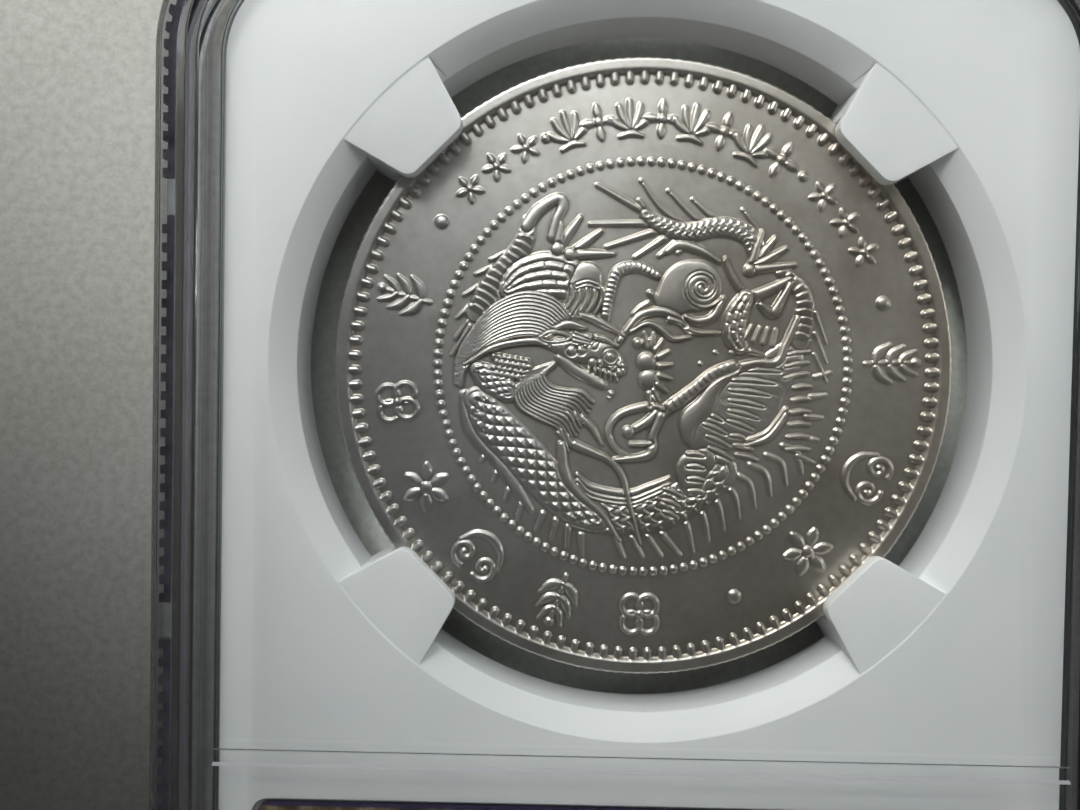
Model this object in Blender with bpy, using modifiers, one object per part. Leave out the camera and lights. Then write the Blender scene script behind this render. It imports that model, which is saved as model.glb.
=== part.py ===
"""Graded coin slab: a clear welded holder around a white insert, a silver coin and its labels.

All sizes are written in millimetres and turned into metres by MM. +Z points out of the front
window, +Y runs toward the label end, and the origin is the centre of the face the slab rests on.
Solids are built about the slab's mid-plane and hang from one empty at half its thickness.
"""
import math

import bmesh
import bpy

MM = 0.001
OBJECT_NAME = "graded_coin_slab"

# Holder: two clear halves that meet at the mid-plane.
SLAB_WIDTH = 58.2 * MM
SLAB_LENGTH = 83.7 * MM
SLAB_THICKNESS = 8.6 * MM
SLAB_CORNER_RADIUS = 9.6 * MM
OUTER_EDGE_ROUND = 0.5 * MM
RIM_WIDTH = 2.5 * MM
RIM_HEIGHT = 0.4 * MM
WINDOW_THICKNESS = 1.1 * MM
DIVIDER_Y = 9.45 * MM
DIVIDER_WIDTH = 1.0 * MM
DIVIDER_DEPTH = 0.16 * MM

# Pieces that touch on the real object keep this gap.
TOUCH_GAP = 0.3 * MM
FINE_GAP = 0.1 * MM

# White insert that fills the cavity and holds the coin in four prongs.
INSERT_INSET = 3.7 * MM
INSERT_THICKNESS = 5.0 * MM
INSERT_CORNER_RADIUS = 5.9 * MM
COIN_Y = -14.2 * MM
RECESS_FACE_RADIUS = 22.7 * MM
RECESS_WAIST_RADIUS = 21.3 * MM
RECESS_WAIST_HALF_HEIGHT = 1.4 * MM
PRONG_COUNT = 4
PRONG_FIRST_ANGLE = math.radians(45)
PRONG_TIP_RADIUS = 18.0 * MM
PRONG_TIP_WIDTH = 4.6 * MM
PRONG_ROOT_RADIUS = 23.8 * MM
PRONG_ROOT_WIDTH = 7.9 * MM
PRONG_CORNER_RADIUS = 0.8 * MM
PRONG_STEP_DOWN = 0.06 * MM

# Coin: crown size, turned blank with a raised rim on both faces.
COIN_DIAMETER = 38.1 * MM
COIN_THICKNESS = 2.4 * MM
COIN_FIELD_DEPTH = 0.25 * MM
COIN_RIM_WIDTH = 0.75 * MM
COIN_EDGE_CHAMFER = 0.1 * MM

# Paper labels in shallow pockets at the label end, and the foil seal on the back label.
LABEL_WIDTH = 46.2 * MM
LABEL_LENGTH = 23.7 * MM
LABEL_THICKNESS = 0.3 * MM
LABEL_CENTRE_Y = 24.55 * MM
LABEL_CORNER_RADIUS = 0.7 * MM
LABEL_BED_GAP = 0.15 * MM
POCKET_DEPTH = 0.6 * MM
SEAL_WIDTH = 30.0 * MM
SEAL_LENGTH = 15.0 * MM
SEAL_THICKNESS = 0.1 * MM
SEAL_CORNER_RADIUS = 7.0 * MM

# Welded joint: a tongue on the back half stands in a groove of the front half.
TONGUE_INSET = 0.45 * MM
TONGUE_WIDTH = 0.7 * MM
GROOVE_TOP = 3.75 * MM
BEAD_HEIGHT = 0.4 * MM
TOOTH_PITCH = 1.08 * MM
TOOTH_DEPTH = 0.3 * MM
BEAD_BREAK = 2.2 * MM
SIDE_BREAK_SPACING = 25.1 * MM
MIDDLE_BREAK_Y = 1.4 * MM

CORNER_STEPS = 10
SMALL_CORNER_STEPS = 3
TURN_STEPS = 96
OVERCUT = 0.2 * MM
SMOOTH_ANGLE = math.radians(35)

HALF_WIDTH = SLAB_WIDTH / 2
HALF_LENGTH = SLAB_LENGTH / 2
HALF_THICKNESS = SLAB_THICKNESS / 2
HALF_INSERT = INSERT_THICKNESS / 2
CAVITY_INSET = INSERT_INSET - TOUCH_GAP
WINDOW_OUTER = HALF_THICKNESS - RIM_HEIGHT
WINDOW_INNER = WINDOW_OUTER - WINDOW_THICKNESS
COIN_RADIUS = COIN_DIAMETER / 2


# ---------------------------------------------------------------- scene and materials

def clear_scene():
    for stale in list(bpy.data.objects):
        bpy.data.objects.remove(stale, do_unlink=True)


def new_collection(name):
    collection = bpy.data.collections.new(name)
    bpy.context.scene.collection.children.link(collection)
    return collection


def make_material(name, color, roughness, metallic=0.0, transmission=0.0):
    """One Principled material, with its viewport colour set to match."""
    material = bpy.data.materials.new(name)
    material.use_nodes = True
    shader = material.node_tree.nodes["Principled BSDF"]
    shader.inputs["Base Color"].default_value = (*color, 1.0)
    shader.inputs["Roughness"].default_value = roughness
    shader.inputs["Metallic"].default_value = metallic
    shader.inputs["Transmission Weight"].default_value = transmission
    material.diffuse_color = (*color, 1.0)
    return material


# ---------------------------------------------------------------- outlines

def corner_arc(before, corner, after, radius, steps):
    """Points of the arc that rounds one corner of a polygon."""
    toward_before = ((before[0] - corner[0]), (before[1] - corner[1]))
    toward_after = ((after[0] - corner[0]), (after[1] - corner[1]))
    angle_before = math.atan2(toward_before[1], toward_before[0])
    angle_after = math.atan2(toward_after[1], toward_after[0])
    half_angle = math.remainder(angle_after - angle_before, math.tau) / 2
    middle = angle_before + half_angle
    reach = radius / abs(math.sin(half_angle))
    centre = (corner[0] + reach * math.cos(middle), corner[1] + reach * math.sin(middle))
    sweep = (math.pi / 2 - abs(half_angle)) * math.copysign(1.0, half_angle)
    points = []
    for step in range(steps + 1):
        angle = middle + math.pi + sweep * (1 - 2 * step / steps)
        points.append((centre[0] + radius * math.cos(angle), centre[1] + radius * math.sin(angle)))
    return points


def rounded_polygon(corners, radius, steps):
    """Outline of a polygon whose corners are all rounded to one radius."""
    outline = []
    for index, corner in enumerate(corners):
        before = corners[index - 1]
        after = corners[(index + 1) % len(corners)]
        outline += corner_arc(before, corner, after, radius, steps)
    return outline


def rounded_rectangle(width, length, radius, centre_y=0.0, steps=CORNER_STEPS):
    half_x = width / 2
    half_y = length / 2
    corners = [
        (half_x, centre_y - half_y),
        (half_x, centre_y + half_y),
        (-half_x, centre_y + half_y),
        (-half_x, centre_y - half_y),
    ]
    return rounded_polygon(corners, radius, steps)


def slab_outline(inset):
    """The slab's outline moved inward by a distance, with concentric corners."""
    return rounded_rectangle(SLAB_WIDTH - 2 * inset, SLAB_LENGTH - 2 * inset, SLAB_CORNER_RADIUS - inset)


def slab_edge_point(distance, inset):
    """Point a given way along the slab's edge, moved inward.

    The distance starts at the middle of the +X side and runs toward +Y. Only a quarter of the edge
    is worked out, up to the middle of the +Y side; the other quarters are mirror images of it.
    """
    straight_side = HALF_LENGTH - SLAB_CORNER_RADIUS
    corner_length = SLAB_CORNER_RADIUS * math.pi / 2
    if distance <= straight_side:
        return (HALF_WIDTH - inset, distance)
    if distance <= straight_side + corner_length:
        angle = (distance - straight_side) / SLAB_CORNER_RADIUS
        radius = SLAB_CORNER_RADIUS - inset
        centre_x = HALF_WIDTH - SLAB_CORNER_RADIUS
        return (centre_x + radius * math.cos(angle), straight_side + radius * math.sin(angle))
    along_end = distance - straight_side - corner_length
    return (HALF_WIDTH - SLAB_CORNER_RADIUS - along_end, HALF_LENGTH - inset)


# ---------------------------------------------------------------- solids

def finish_mesh(name, mesh, collection, parent):
    """Put a mesh in the scene as an object that hangs from the slab's centre."""
    mesh.name = name
    mesh.shade_smooth()
    mesh.set_sharp_from_angle(angle=SMOOTH_ANGLE)
    solid = bpy.data.objects.new(name, mesh)
    collection.objects.link(solid)
    solid.parent = parent
    return solid


def plate(name, outlines, low, high, collection, parent):
    """Extrude flat outlines between two heights. An outline inside another is a hole."""
    curve = bpy.data.curves.new(name + "_outline", "CURVE")
    curve.dimensions = "2D"
    curve.fill_mode = "BOTH"
    curve.extrude = (high - low) / 2
    for outline in outlines:
        spline = curve.splines.new("POLY")
        spline.points.add(len(outline) - 1)
        for point, (x, y) in zip(spline.points, outline):
            point.co = (x, y, 0.0, 1.0)
        spline.use_cyclic_u = True
    flat = bpy.data.objects.new(name + "_outline", curve)
    bpy.context.scene.collection.objects.link(flat)
    depsgraph = bpy.context.evaluated_depsgraph_get()
    mesh = bpy.data.meshes.new_from_object(flat.evaluated_get(depsgraph))
    bpy.data.objects.remove(flat, do_unlink=True)
    weld_and_lift(mesh, (low + high) / 2)
    return finish_mesh(name, mesh, collection, parent)


def weld_and_lift(mesh, height):
    """Join a filled curve's caps to its sides and move it up to its place."""
    work = bmesh.new()
    work.from_mesh(mesh)
    bmesh.ops.remove_doubles(work, verts=work.verts, dist=0.001 * MM)
    bmesh.ops.translate(work, verts=work.verts, vec=(0.0, 0.0, height))
    bmesh.ops.recalc_face_normals(work, faces=work.faces)
    work.to_mesh(mesh)
    work.free()


def round_edges_at(solid, height, radius, segments=SMALL_CORNER_STEPS):
    """Round every edge of a solid that lies at one height."""
    tolerance = 0.01 * MM
    work = bmesh.new()
    work.from_mesh(solid.data)
    picked = []
    for edge in work.edges:
        level = all(abs(vert.co.z - height) < tolerance for vert in edge.verts)
        if level and edge.calc_face_angle(0.0) > SMOOTH_ANGLE:
            picked.append(edge)
    bmesh.ops.bevel(
        work, geom=picked, offset=radius, offset_type="OFFSET", segments=segments,
        profile=0.5, affect="EDGES", clamp_overlap=True,
    )
    work.to_mesh(solid.data)
    work.free()


def turned(name, profile, centre_y, collection, parent):
    """Turn a profile of (radius, height) points, given top to bottom, about a vertical axis."""
    mesh = bpy.data.meshes.new(name)
    points = [(radius, 0.0, height) for radius, height in profile]
    links = [(index, index + 1) for index in range(len(points) - 1)]
    mesh.from_pydata(points, links, [])
    solid = bpy.data.objects.new(name, mesh)
    collection.objects.link(solid)
    solid.parent = parent
    solid.location.y = centre_y
    screw = solid.modifiers.new("turn", "SCREW")
    screw.axis = "Z"
    screw.steps = TURN_STEPS
    screw.render_steps = TURN_STEPS
    screw.use_merge_vertices = True
    screw.merge_threshold = 0.01 * MM
    screw.use_smooth_shade = True
    return solid


def combine(target, other, operation="DIFFERENCE"):
    """Cut another solid from the target, or join it on, and keep that solid as a cutter."""
    boolean = target.modifiers.new(other.name, "BOOLEAN")
    boolean.operation = operation
    boolean.solver = "EXACT"
    boolean.object = other
    other.hide_render = True
    other.display_type = "WIRE"


# ---------------------------------------------------------------- clear holder

def build_shell_half(name, side, parts, cutters, parent):
    """One clear half: outer block, window recess and cavity. side is +1 for front, -1 for back."""
    def half_plate(plate_name, outline, near, far, collection):
        low, high = sorted((side * near, side * far))
        return plate(plate_name, [outline], low, high, collection, parent)

    shell = half_plate(name, slab_outline(0.0), 0.5 * FINE_GAP, HALF_THICKNESS, parts)
    round_edges_at(shell, side * HALF_THICKNESS, OUTER_EDGE_ROUND)

    recess_top = HALF_THICKNESS + OVERCUT
    recess_outline = slab_outline(RIM_WIDTH)
    recess = half_plate(name + "_window_recess", recess_outline, WINDOW_OUTER, recess_top, cutters)
    round_edges_at(recess, side * WINDOW_OUTER, 0.75 * RIM_HEIGHT)

    cavity_outline = slab_outline(CAVITY_INSET)
    cavity = half_plate(name + "_cavity", cavity_outline, -OVERCUT, WINDOW_INNER, cutters)
    combine(shell, recess)
    combine(shell, cavity)
    return shell


def build_divider(name, side, cutters, parent):
    """Cutter for the shallow groove across the window, as long as the insert is wide."""
    half_reach = HALF_WIDTH - INSERT_INSET
    bottom = WINDOW_OUTER - DIVIDER_DEPTH
    low, high = sorted((side * bottom, side * (WINDOW_OUTER + OVERCUT)))
    near_y = DIVIDER_Y - DIVIDER_WIDTH / 2
    far_y = DIVIDER_Y + DIVIDER_WIDTH / 2
    outline = [(half_reach, near_y), (half_reach, far_y), (-half_reach, far_y), (-half_reach, near_y)]
    divider = plate(name, [outline], low, high, cutters, parent)
    round_edges_at(divider, side * bottom, DIVIDER_DEPTH / 2)
    return divider


def build_front_shell(parts, cutters, parent):
    shell = build_shell_half("front_shell", 1, parts, cutters, parent)
    combine(shell, build_divider("front_divider", 1, cutters, parent))
    groove_outlines = [
        slab_outline(TONGUE_INSET - FINE_GAP),
        slab_outline(TONGUE_INSET + TONGUE_WIDTH + FINE_GAP),
    ]
    groove = plate("front_shell_groove", groove_outlines, -OVERCUT, GROOVE_TOP, cutters, parent)
    combine(shell, groove)
    return shell


def build_back_shell(parts, cutters, parent):
    shell = build_shell_half("back_shell", -1, parts, cutters, parent)
    combine(shell, build_divider("back_divider", -1, cutters, parent))
    tongue_outlines = [slab_outline(TONGUE_INSET), slab_outline(TONGUE_INSET + TONGUE_WIDTH)]
    tongue_top = GROOVE_TOP - BEAD_HEIGHT - 2 * FINE_GAP
    tongue_foot = -HALF_THICKNESS / 2
    tongue = plate("back_shell_tongue", tongue_outlines, tongue_foot, tongue_top, cutters, parent)
    combine(shell, tongue, "UNION")
    return shell


# ---------------------------------------------------------------- weld bead

def toothed_strip(start, end):
    """Outline of one bead length: square teeth on its outer side and a smooth inner side."""
    tooth_count = round((end - start) / TOOTH_PITCH)
    pitch = (end - start) / tooth_count
    crest = TONGUE_INSET
    root = TONGUE_INSET + TOOTH_DEPTH
    inner = TONGUE_INSET + TONGUE_WIDTH
    outline = []
    for tooth in range(tooth_count):
        rise = start + tooth * pitch
        fall = rise + pitch / 2
        outline.append(slab_edge_point(rise, crest))
        outline.append(slab_edge_point(fall, crest))
        outline.append(slab_edge_point(fall, root))
        outline.append(slab_edge_point(rise + pitch, root))
    for tooth in range(tooth_count, -1, -1):
        outline.append(slab_edge_point(start + tooth * pitch, inner))
    return outline


def mirrored(outline, flip_x, flip_y):
    return [(x * flip_x, y * flip_y) for x, y in outline]


def build_weld_beads(parts, parent):
    """Eight bead lengths with clear breaks between them: two in each quarter of the edge."""
    straight_side = HALF_LENGTH - SLAB_CORNER_RADIUS
    quarter = straight_side + SLAB_CORNER_RADIUS * math.pi / 2 + HALF_WIDTH - SLAB_CORNER_RADIUS
    half_break = BEAD_BREAK / 2
    high = GROOVE_TOP - FINE_GAP
    low = high - BEAD_HEIGHT
    quarters = {
        "label_right": (1, 1),
        "label_left": (-1, 1),
        "coin_left": (-1, -1),
        "coin_right": (1, -1),
    }
    beads = []
    for quarter_name, (flip_x, flip_y) in quarters.items():
        middle_break = flip_y * MIDDLE_BREAK_Y
        side_break = middle_break + SIDE_BREAK_SPACING
        spans = {
            "side": (middle_break + half_break, side_break - half_break),
            "corner": (side_break + half_break, quarter - half_break),
        }
        for strip_name, (start, end) in spans.items():
            outline = mirrored(toothed_strip(start, end), flip_x, flip_y)
            name = "weld_bead_" + strip_name + "_" + quarter_name
            beads.append(plate(name, [outline], low, high, parts, parent))
    return beads


# ---------------------------------------------------------------- insert

def prong_outline(angle):
    """Tapered prong pointing at the coin's centre, with rounded tip corners."""
    half_root = PRONG_ROOT_WIDTH / 2
    half_tip = PRONG_TIP_WIDTH / 2
    corners = [
        (PRONG_ROOT_RADIUS, -half_root),
        (PRONG_ROOT_RADIUS, half_root),
        (PRONG_TIP_RADIUS, half_tip),
        (PRONG_TIP_RADIUS, -half_tip),
    ]
    flat = rounded_polygon(corners, PRONG_CORNER_RADIUS, SMALL_CORNER_STEPS)
    cosine = math.cos(angle)
    sine = math.sin(angle)
    return [(x * cosine - y * sine, x * sine + y * cosine + COIN_Y) for x, y in flat]


def build_prongs(cutters, parent):
    outlines = []
    for index in range(PRONG_COUNT):
        outlines.append(prong_outline(PRONG_FIRST_ANGLE + index * math.tau / PRONG_COUNT))
    top = HALF_INSERT - PRONG_STEP_DOWN
    prongs = plate("prongs", outlines, -top, top, cutters, parent)
    round_edges_at(prongs, top, 0.25 * MM, 2)
    round_edges_at(prongs, -top, 0.25 * MM, 2)
    return prongs


def build_recess_cutter(cutters, parent):
    """Hourglass that opens the ring around the coin, wider at both faces than at its waist."""
    slope = (RECESS_FACE_RADIUS - RECESS_WAIST_RADIUS) / (HALF_INSERT - RECESS_WAIST_HALF_HEIGHT)
    top = HALF_INSERT + OVERCUT
    mouth = RECESS_FACE_RADIUS + OVERCUT * slope
    profile = [
        (0.0, top),
        (mouth, top),
        (RECESS_WAIST_RADIUS, RECESS_WAIST_HALF_HEIGHT),
        (RECESS_WAIST_RADIUS, -RECESS_WAIST_HALF_HEIGHT),
        (mouth, -top),
        (0.0, -top),
    ]
    return turned("insert_recess", profile, COIN_Y, cutters, parent)


def build_coin_seat_cutter(cutters, parent):
    """Disc that leaves each prong a slot for the coin's edge."""
    radius = COIN_RADIUS + TOUCH_GAP
    half_height = COIN_THICKNESS / 2 + TOUCH_GAP
    profile = [(0.0, half_height), (radius, half_height), (radius, -half_height), (0.0, -half_height)]
    return turned("insert_coin_seat", profile, COIN_Y, cutters, parent)


def build_insert(parts, cutters, parent):
    width = SLAB_WIDTH - 2 * INSERT_INSET
    length = SLAB_LENGTH - 2 * INSERT_INSET
    outline = rounded_rectangle(width, length, INSERT_CORNER_RADIUS)
    insert = plate("coin_insert", [outline], -HALF_INSERT, HALF_INSERT, parts, parent)
    round_edges_at(insert, HALF_INSERT, 0.25 * MM, 2)
    round_edges_at(insert, -HALF_INSERT, 0.25 * MM, 2)
    combine(insert, build_recess_cutter(cutters, parent))
    combine(insert, build_prongs(cutters, parent), "UNION")
    combine(insert, build_coin_seat_cutter(cutters, parent))
    for name, side in (("front_pocket", 1), ("back_pocket", -1)):
        heights = sorted((side * (HALF_INSERT - POCKET_DEPTH), side * (HALF_INSERT + OVERCUT)))
        pocket_outline = label_outline(TOUCH_GAP)
        combine(insert, plate(name, [pocket_outline], *heights, cutters, parent))
    return insert


# ---------------------------------------------------------------- coin and labels

def build_coin(parts, parent):
    rim_top = COIN_THICKNESS / 2
    field = rim_top - COIN_FIELD_DEPTH
    rim_inner = COIN_RADIUS - COIN_RIM_WIDTH
    upper = [
        (0.0, field),
        (rim_inner - COIN_FIELD_DEPTH, field),
        (rim_inner, rim_top),
        (COIN_RADIUS - COIN_EDGE_CHAMFER, rim_top),
        (COIN_RADIUS, rim_top - COIN_EDGE_CHAMFER),
    ]
    lower = [(radius, -height) for radius, height in reversed(upper)]
    return turned("coin", upper + lower, COIN_Y, parts, parent)


def label_outline(margin):
    width = LABEL_WIDTH + 2 * margin
    length = LABEL_LENGTH + 2 * margin
    return rounded_rectangle(width, length, LABEL_CORNER_RADIUS + margin, LABEL_CENTRE_Y)


def build_labels(parts, parent):
    """The front and back cards, each lying in its pocket."""
    near = HALF_INSERT - POCKET_DEPTH + LABEL_BED_GAP
    far = near + LABEL_THICKNESS
    front = plate("front_label", [label_outline(0.0)], near, far, parts, parent)
    back = plate("back_label", [label_outline(0.0)], -far, -near, parts, parent)
    return front, back


def build_seal(parts, parent):
    """Foil security seal on the outer face of the back card."""
    near = HALF_INSERT - POCKET_DEPTH + LABEL_BED_GAP + LABEL_THICKNESS + 0.5 * FINE_GAP
    outline = rounded_rectangle(SEAL_WIDTH, SEAL_LENGTH, SEAL_CORNER_RADIUS, LABEL_CENTRE_Y)
    return plate("security_seal", [outline], -near - SEAL_THICKNESS, -near, parts, parent)


# ---------------------------------------------------------------- assembly

def main():
    clear_scene()
    parts = new_collection(OBJECT_NAME)
    cutters = new_collection(OBJECT_NAME + "_cutters")
    centre = bpy.data.objects.new("slab_centre", None)
    centre.location.z = HALF_THICKNESS
    parts.objects.link(centre)

    front_shell = build_front_shell(parts, cutters, centre)
    back_shell = build_back_shell(parts, cutters, centre)
    beads = build_weld_beads(parts, centre)
    insert = build_insert(parts, cutters, centre)
    coin = build_coin(parts, centre)
    front_label, back_label = build_labels(parts, centre)
    seal = build_seal(parts, centre)

    front_shell.data.materials.append(make_material("front_shell", (0.86, 0.89, 0.88), 0.06, 0.0, 0.9))
    back_shell.data.materials.append(make_material("back_shell", (0.84, 0.87, 0.86), 0.06, 0.0, 0.9))
    insert.data.materials.append(make_material("coin_insert", (0.80, 0.82, 0.82), 0.5))
    coin.data.materials.append(make_material("coin", (0.62, 0.61, 0.58), 0.3, 1.0))
    front_label.data.materials.append(make_material("front_label", (0.10, 0.09, 0.20), 0.55))
    back_label.data.materials.append(make_material("back_label", (0.75, 0.75, 0.73), 0.6))
    seal.data.materials.append(make_material("security_seal", (0.62, 0.66, 0.70), 0.25, 1.0))
    for bead in beads:
        bead.data.materials.append(make_material(bead.name, (0.20, 0.19, 0.24), 0.4))


main()
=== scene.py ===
"""Looks of the graded coin slab: clear welded holder, white insert, struck silver coin and labels.

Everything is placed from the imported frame, in metres, in the frame's axes: +Z out of the front
window, +Y toward the label end. Sizes chosen here are in millimetres times MM. The coin's art is
drawn on a height map in plain millimetres about the coin's centre, with its own right and up; the
coin lies half a turn round from the label, so the art is turned half a turn when it is struck.
"""
import math

import bmesh
import bpy
import numpy as np
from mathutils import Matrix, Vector


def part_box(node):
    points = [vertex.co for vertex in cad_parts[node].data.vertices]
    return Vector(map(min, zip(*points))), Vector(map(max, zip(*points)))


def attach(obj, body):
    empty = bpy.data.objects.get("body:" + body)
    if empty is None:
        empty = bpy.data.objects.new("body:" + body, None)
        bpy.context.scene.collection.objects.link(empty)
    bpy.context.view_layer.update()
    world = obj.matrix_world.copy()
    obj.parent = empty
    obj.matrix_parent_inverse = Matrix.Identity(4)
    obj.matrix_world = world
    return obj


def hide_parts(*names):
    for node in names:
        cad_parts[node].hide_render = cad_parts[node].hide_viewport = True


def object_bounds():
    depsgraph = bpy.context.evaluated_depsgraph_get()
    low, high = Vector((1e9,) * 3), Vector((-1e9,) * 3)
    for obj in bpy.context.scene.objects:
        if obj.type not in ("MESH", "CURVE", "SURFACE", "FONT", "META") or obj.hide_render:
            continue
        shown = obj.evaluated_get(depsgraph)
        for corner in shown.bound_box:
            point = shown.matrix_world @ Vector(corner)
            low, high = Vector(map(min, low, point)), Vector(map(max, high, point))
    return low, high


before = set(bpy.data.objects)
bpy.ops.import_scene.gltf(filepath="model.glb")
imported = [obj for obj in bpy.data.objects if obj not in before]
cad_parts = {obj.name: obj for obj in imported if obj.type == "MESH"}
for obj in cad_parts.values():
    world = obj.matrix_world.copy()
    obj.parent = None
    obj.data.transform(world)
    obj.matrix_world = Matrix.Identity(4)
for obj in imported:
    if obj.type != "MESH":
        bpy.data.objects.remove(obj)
CAD_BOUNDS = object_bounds()
MM = 0.001

# ---------------------------------------------------------------- sizes read from the frame

SLAB_LOW, SLAB_HIGH = CAD_BOUNDS
COIN_LOW, COIN_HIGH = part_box("coin")
INSERT_LOW, INSERT_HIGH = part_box("coin_insert")
LABEL_LOW, LABEL_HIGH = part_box("front_label")
BEAD_LOW, BEAD_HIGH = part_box("weld_bead_side_label_right")

MID_HEIGHT = (SLAB_LOW.z + SLAB_HIGH.z) / 2
HALF_WIDTH = (SLAB_HIGH.x - SLAB_LOW.x) / 2
HALF_LENGTH = (SLAB_HIGH.y - SLAB_LOW.y) / 2
HALF_THICKNESS = (SLAB_HIGH.z - SLAB_LOW.z) / 2
INSERT_HALF_WIDTH = (INSERT_HIGH.x - INSERT_LOW.x) / 2
INSERT_HALF_LENGTH = (INSERT_HIGH.y - INSERT_LOW.y) / 2
INSERT_HALF_THICKNESS = (INSERT_HIGH.z - INSERT_LOW.z) / 2
COIN_CENTRE = (COIN_LOW + COIN_HIGH) / 2
COIN_RADIUS = (COIN_HIGH.x - COIN_LOW.x) / 2
COIN_HALF_THICKNESS = (COIN_HIGH.z - COIN_LOW.z) / 2
LABEL_CENTRE = (LABEL_LOW + LABEL_HIGH) / 2
LABEL_HALF_WIDTH = (LABEL_HIGH.x - LABEL_LOW.x) / 2
LABEL_HALF_LENGTH = (LABEL_HIGH.y - LABEL_LOW.y) / 2

TOUCH_GAP = 0.3 * MM
SLAB_CORNER_RADIUS = 9.6 * MM
CAVITY_INSET = HALF_WIDTH - INSERT_HALF_WIDTH - TOUCH_GAP
WINDOW_INNER = INSERT_HALF_THICKNESS + TOUCH_GAP
WINDOW_OUTER = WINDOW_INNER + 1.1 * MM
RIM_WIDTH = 2.5 * MM
RIM_FOOT = RIM_WIDTH - 0.05 * MM
RIM_RUN = 0.55 * MM
SEAM_HALF_GAP = 0.05 * MM
JOINT_OUTER = HALF_WIDTH - BEAD_HIGH.x
JOINT_INNER = HALF_WIDTH - BEAD_LOW.x
GROOVE_CLEARANCE = 0.1 * MM
GROOVE_TOP = BEAD_HIGH.z - MID_HEIGHT + GROOVE_CLEARANCE
TONGUE_TOP = BEAD_LOW.z - MID_HEIGHT - GROOVE_CLEARANCE
DIVIDER_Y = 9.45 * MM
DIVIDER_WIDTH = 1.0 * MM
DIVIDER_DEPTH = 0.16 * MM

SOFT_ANGLE = math.radians(32)
ROUND_STEPS = 6


# ---------------------------------------------------------------- mesh helpers

def add_object(name, mesh):
    piece = bpy.data.objects.new(name, mesh)
    bpy.context.scene.collection.objects.link(piece)
    return piece


def smooth_mesh(mesh, sharp_angle=SOFT_ANGLE):
    mesh.shade_smooth()
    mesh.set_sharp_from_angle(angle=sharp_angle)


def mesh_from_arrays(name, points, face_groups):
    """Mesh from an array of points and arrays of faces, each array with one size of face."""
    mesh = bpy.data.meshes.new(name)
    mesh.vertices.add(len(points))
    mesh.vertices.foreach_set("co", np.asarray(points, np.float32).ravel())
    corners = np.concatenate([group.ravel() for group in face_groups]).astype(np.int32)
    sizes = np.concatenate([np.full(len(group), group.shape[1]) for group in face_groups])
    starts = np.concatenate([[0], np.cumsum(sizes)[:-1]]).astype(np.int32)
    mesh.loops.add(len(corners))
    mesh.loops.foreach_set("vertex_index", corners)
    mesh.polygons.add(len(sizes))
    mesh.polygons.foreach_set("loop_start", starts)
    mesh.update(calc_edges=True)
    mesh.validate()
    return mesh


def rounded_outline(half_width, half_length, radius, steps, centre_y=0.0):
    """Anticlockwise outline of a rounded rectangle, starting at the end of its +X side."""
    points = []
    quarters = ((1, 1, 0.0), (-1, 1, 0.5), (-1, -1, 1.0), (1, -1, 1.5))
    for sign_x, sign_y, start in quarters:
        centre_x = sign_x * (half_width - radius)
        middle_y = centre_y + sign_y * (half_length - radius)
        for step in range(steps + 1):
            angle = math.pi * (start + 0.5 * step / steps)
            points.append((centre_x + radius * math.cos(angle), middle_y + radius * math.sin(angle)))
    return points


def rounded_profile(corners, steps=ROUND_STEPS):
    """Profile through (across, height, radius) corners, each rounded to its radius."""
    points = [corners[0][:2]]
    for before, corner, after in zip(corners, corners[1:], corners[2:]):
        here = Vector(corner[:2])
        back = (Vector(before[:2]) - here).normalized()
        ahead = (Vector(after[:2]) - here).normalized()
        half_angle = back.angle(ahead) / 2
        if corner[2] == 0.0:
            points.append(tuple(here))
            continue
        reach = corner[2] / math.tan(half_angle)
        centre = here + (back + ahead).normalized() * corner[2] / math.sin(half_angle)
        first = here + back * reach - centre
        last = here + ahead * reach - centre
        turn = first.angle_signed(last)
        for step in range(steps + 1):
            angle = -turn * step / steps
            cosine, sine = math.cos(angle), math.sin(angle)
            points.append((
                centre.x + first.x * cosine - first.y * sine,
                centre.y + first.x * sine + first.y * cosine,
            ))
    points.append(corners[-1][:2])
    return points


def combine(target, other, operation):
    boolean = target.modifiers.new(other.name, "BOOLEAN")
    boolean.operation = operation
    boolean.solver = "EXACT"
    boolean.object = other


def settle(piece, helpers=()):
    """Replace a piece's mesh by what its modifiers make of it, and remove the helper objects."""
    depsgraph = bpy.context.evaluated_depsgraph_get()
    settled = bpy.data.meshes.new_from_object(piece.evaluated_get(depsgraph))
    piece.modifiers.clear()
    piece.data = settled
    settled.name = piece.name
    for helper in helpers:
        bpy.data.objects.remove(helper, do_unlink=True)


def join_loops(work, loops):
    """Faces between closed loops of verts, one after another; returns them row by row."""
    rows = []
    for first, second in zip(loops, loops[1:]):
        shifted = zip(first, first[1:] + first[:1], second[1:] + second[:1], second)
        rows.append([work.faces.new(corners) for corners in shifted])
    return rows


def close_ends(work, loops):
    work.faces.new(loops[0])
    work.faces.new(loops[-1])


def mesh_from_bmesh(name, work):
    """Object from a finished bmesh, with its faces turned outward."""
    bmesh.ops.recalc_face_normals(work, faces=work.faces)
    mesh = bpy.data.meshes.new(name)
    work.to_mesh(mesh)
    work.free()
    return add_object(name, mesh)


# ---------------------------------------------------------------- clear halves

CORNER_STEPS = 24
CAVITY_CORNER_ROUND = 0.35 * MM
CAVITY_MOUTH_ROUND = 0.08 * MM
SEAM_ROUND = 0.1 * MM
JOINT_ROUND = 0.05 * MM
OUTER_EDGE_ROUND = 0.5 * MM
RIM_ROUND = 0.3 * MM
GROOVE_FLARE = 0.1 * MM
GROOVE_TAPER = 0.12 * MM


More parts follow.
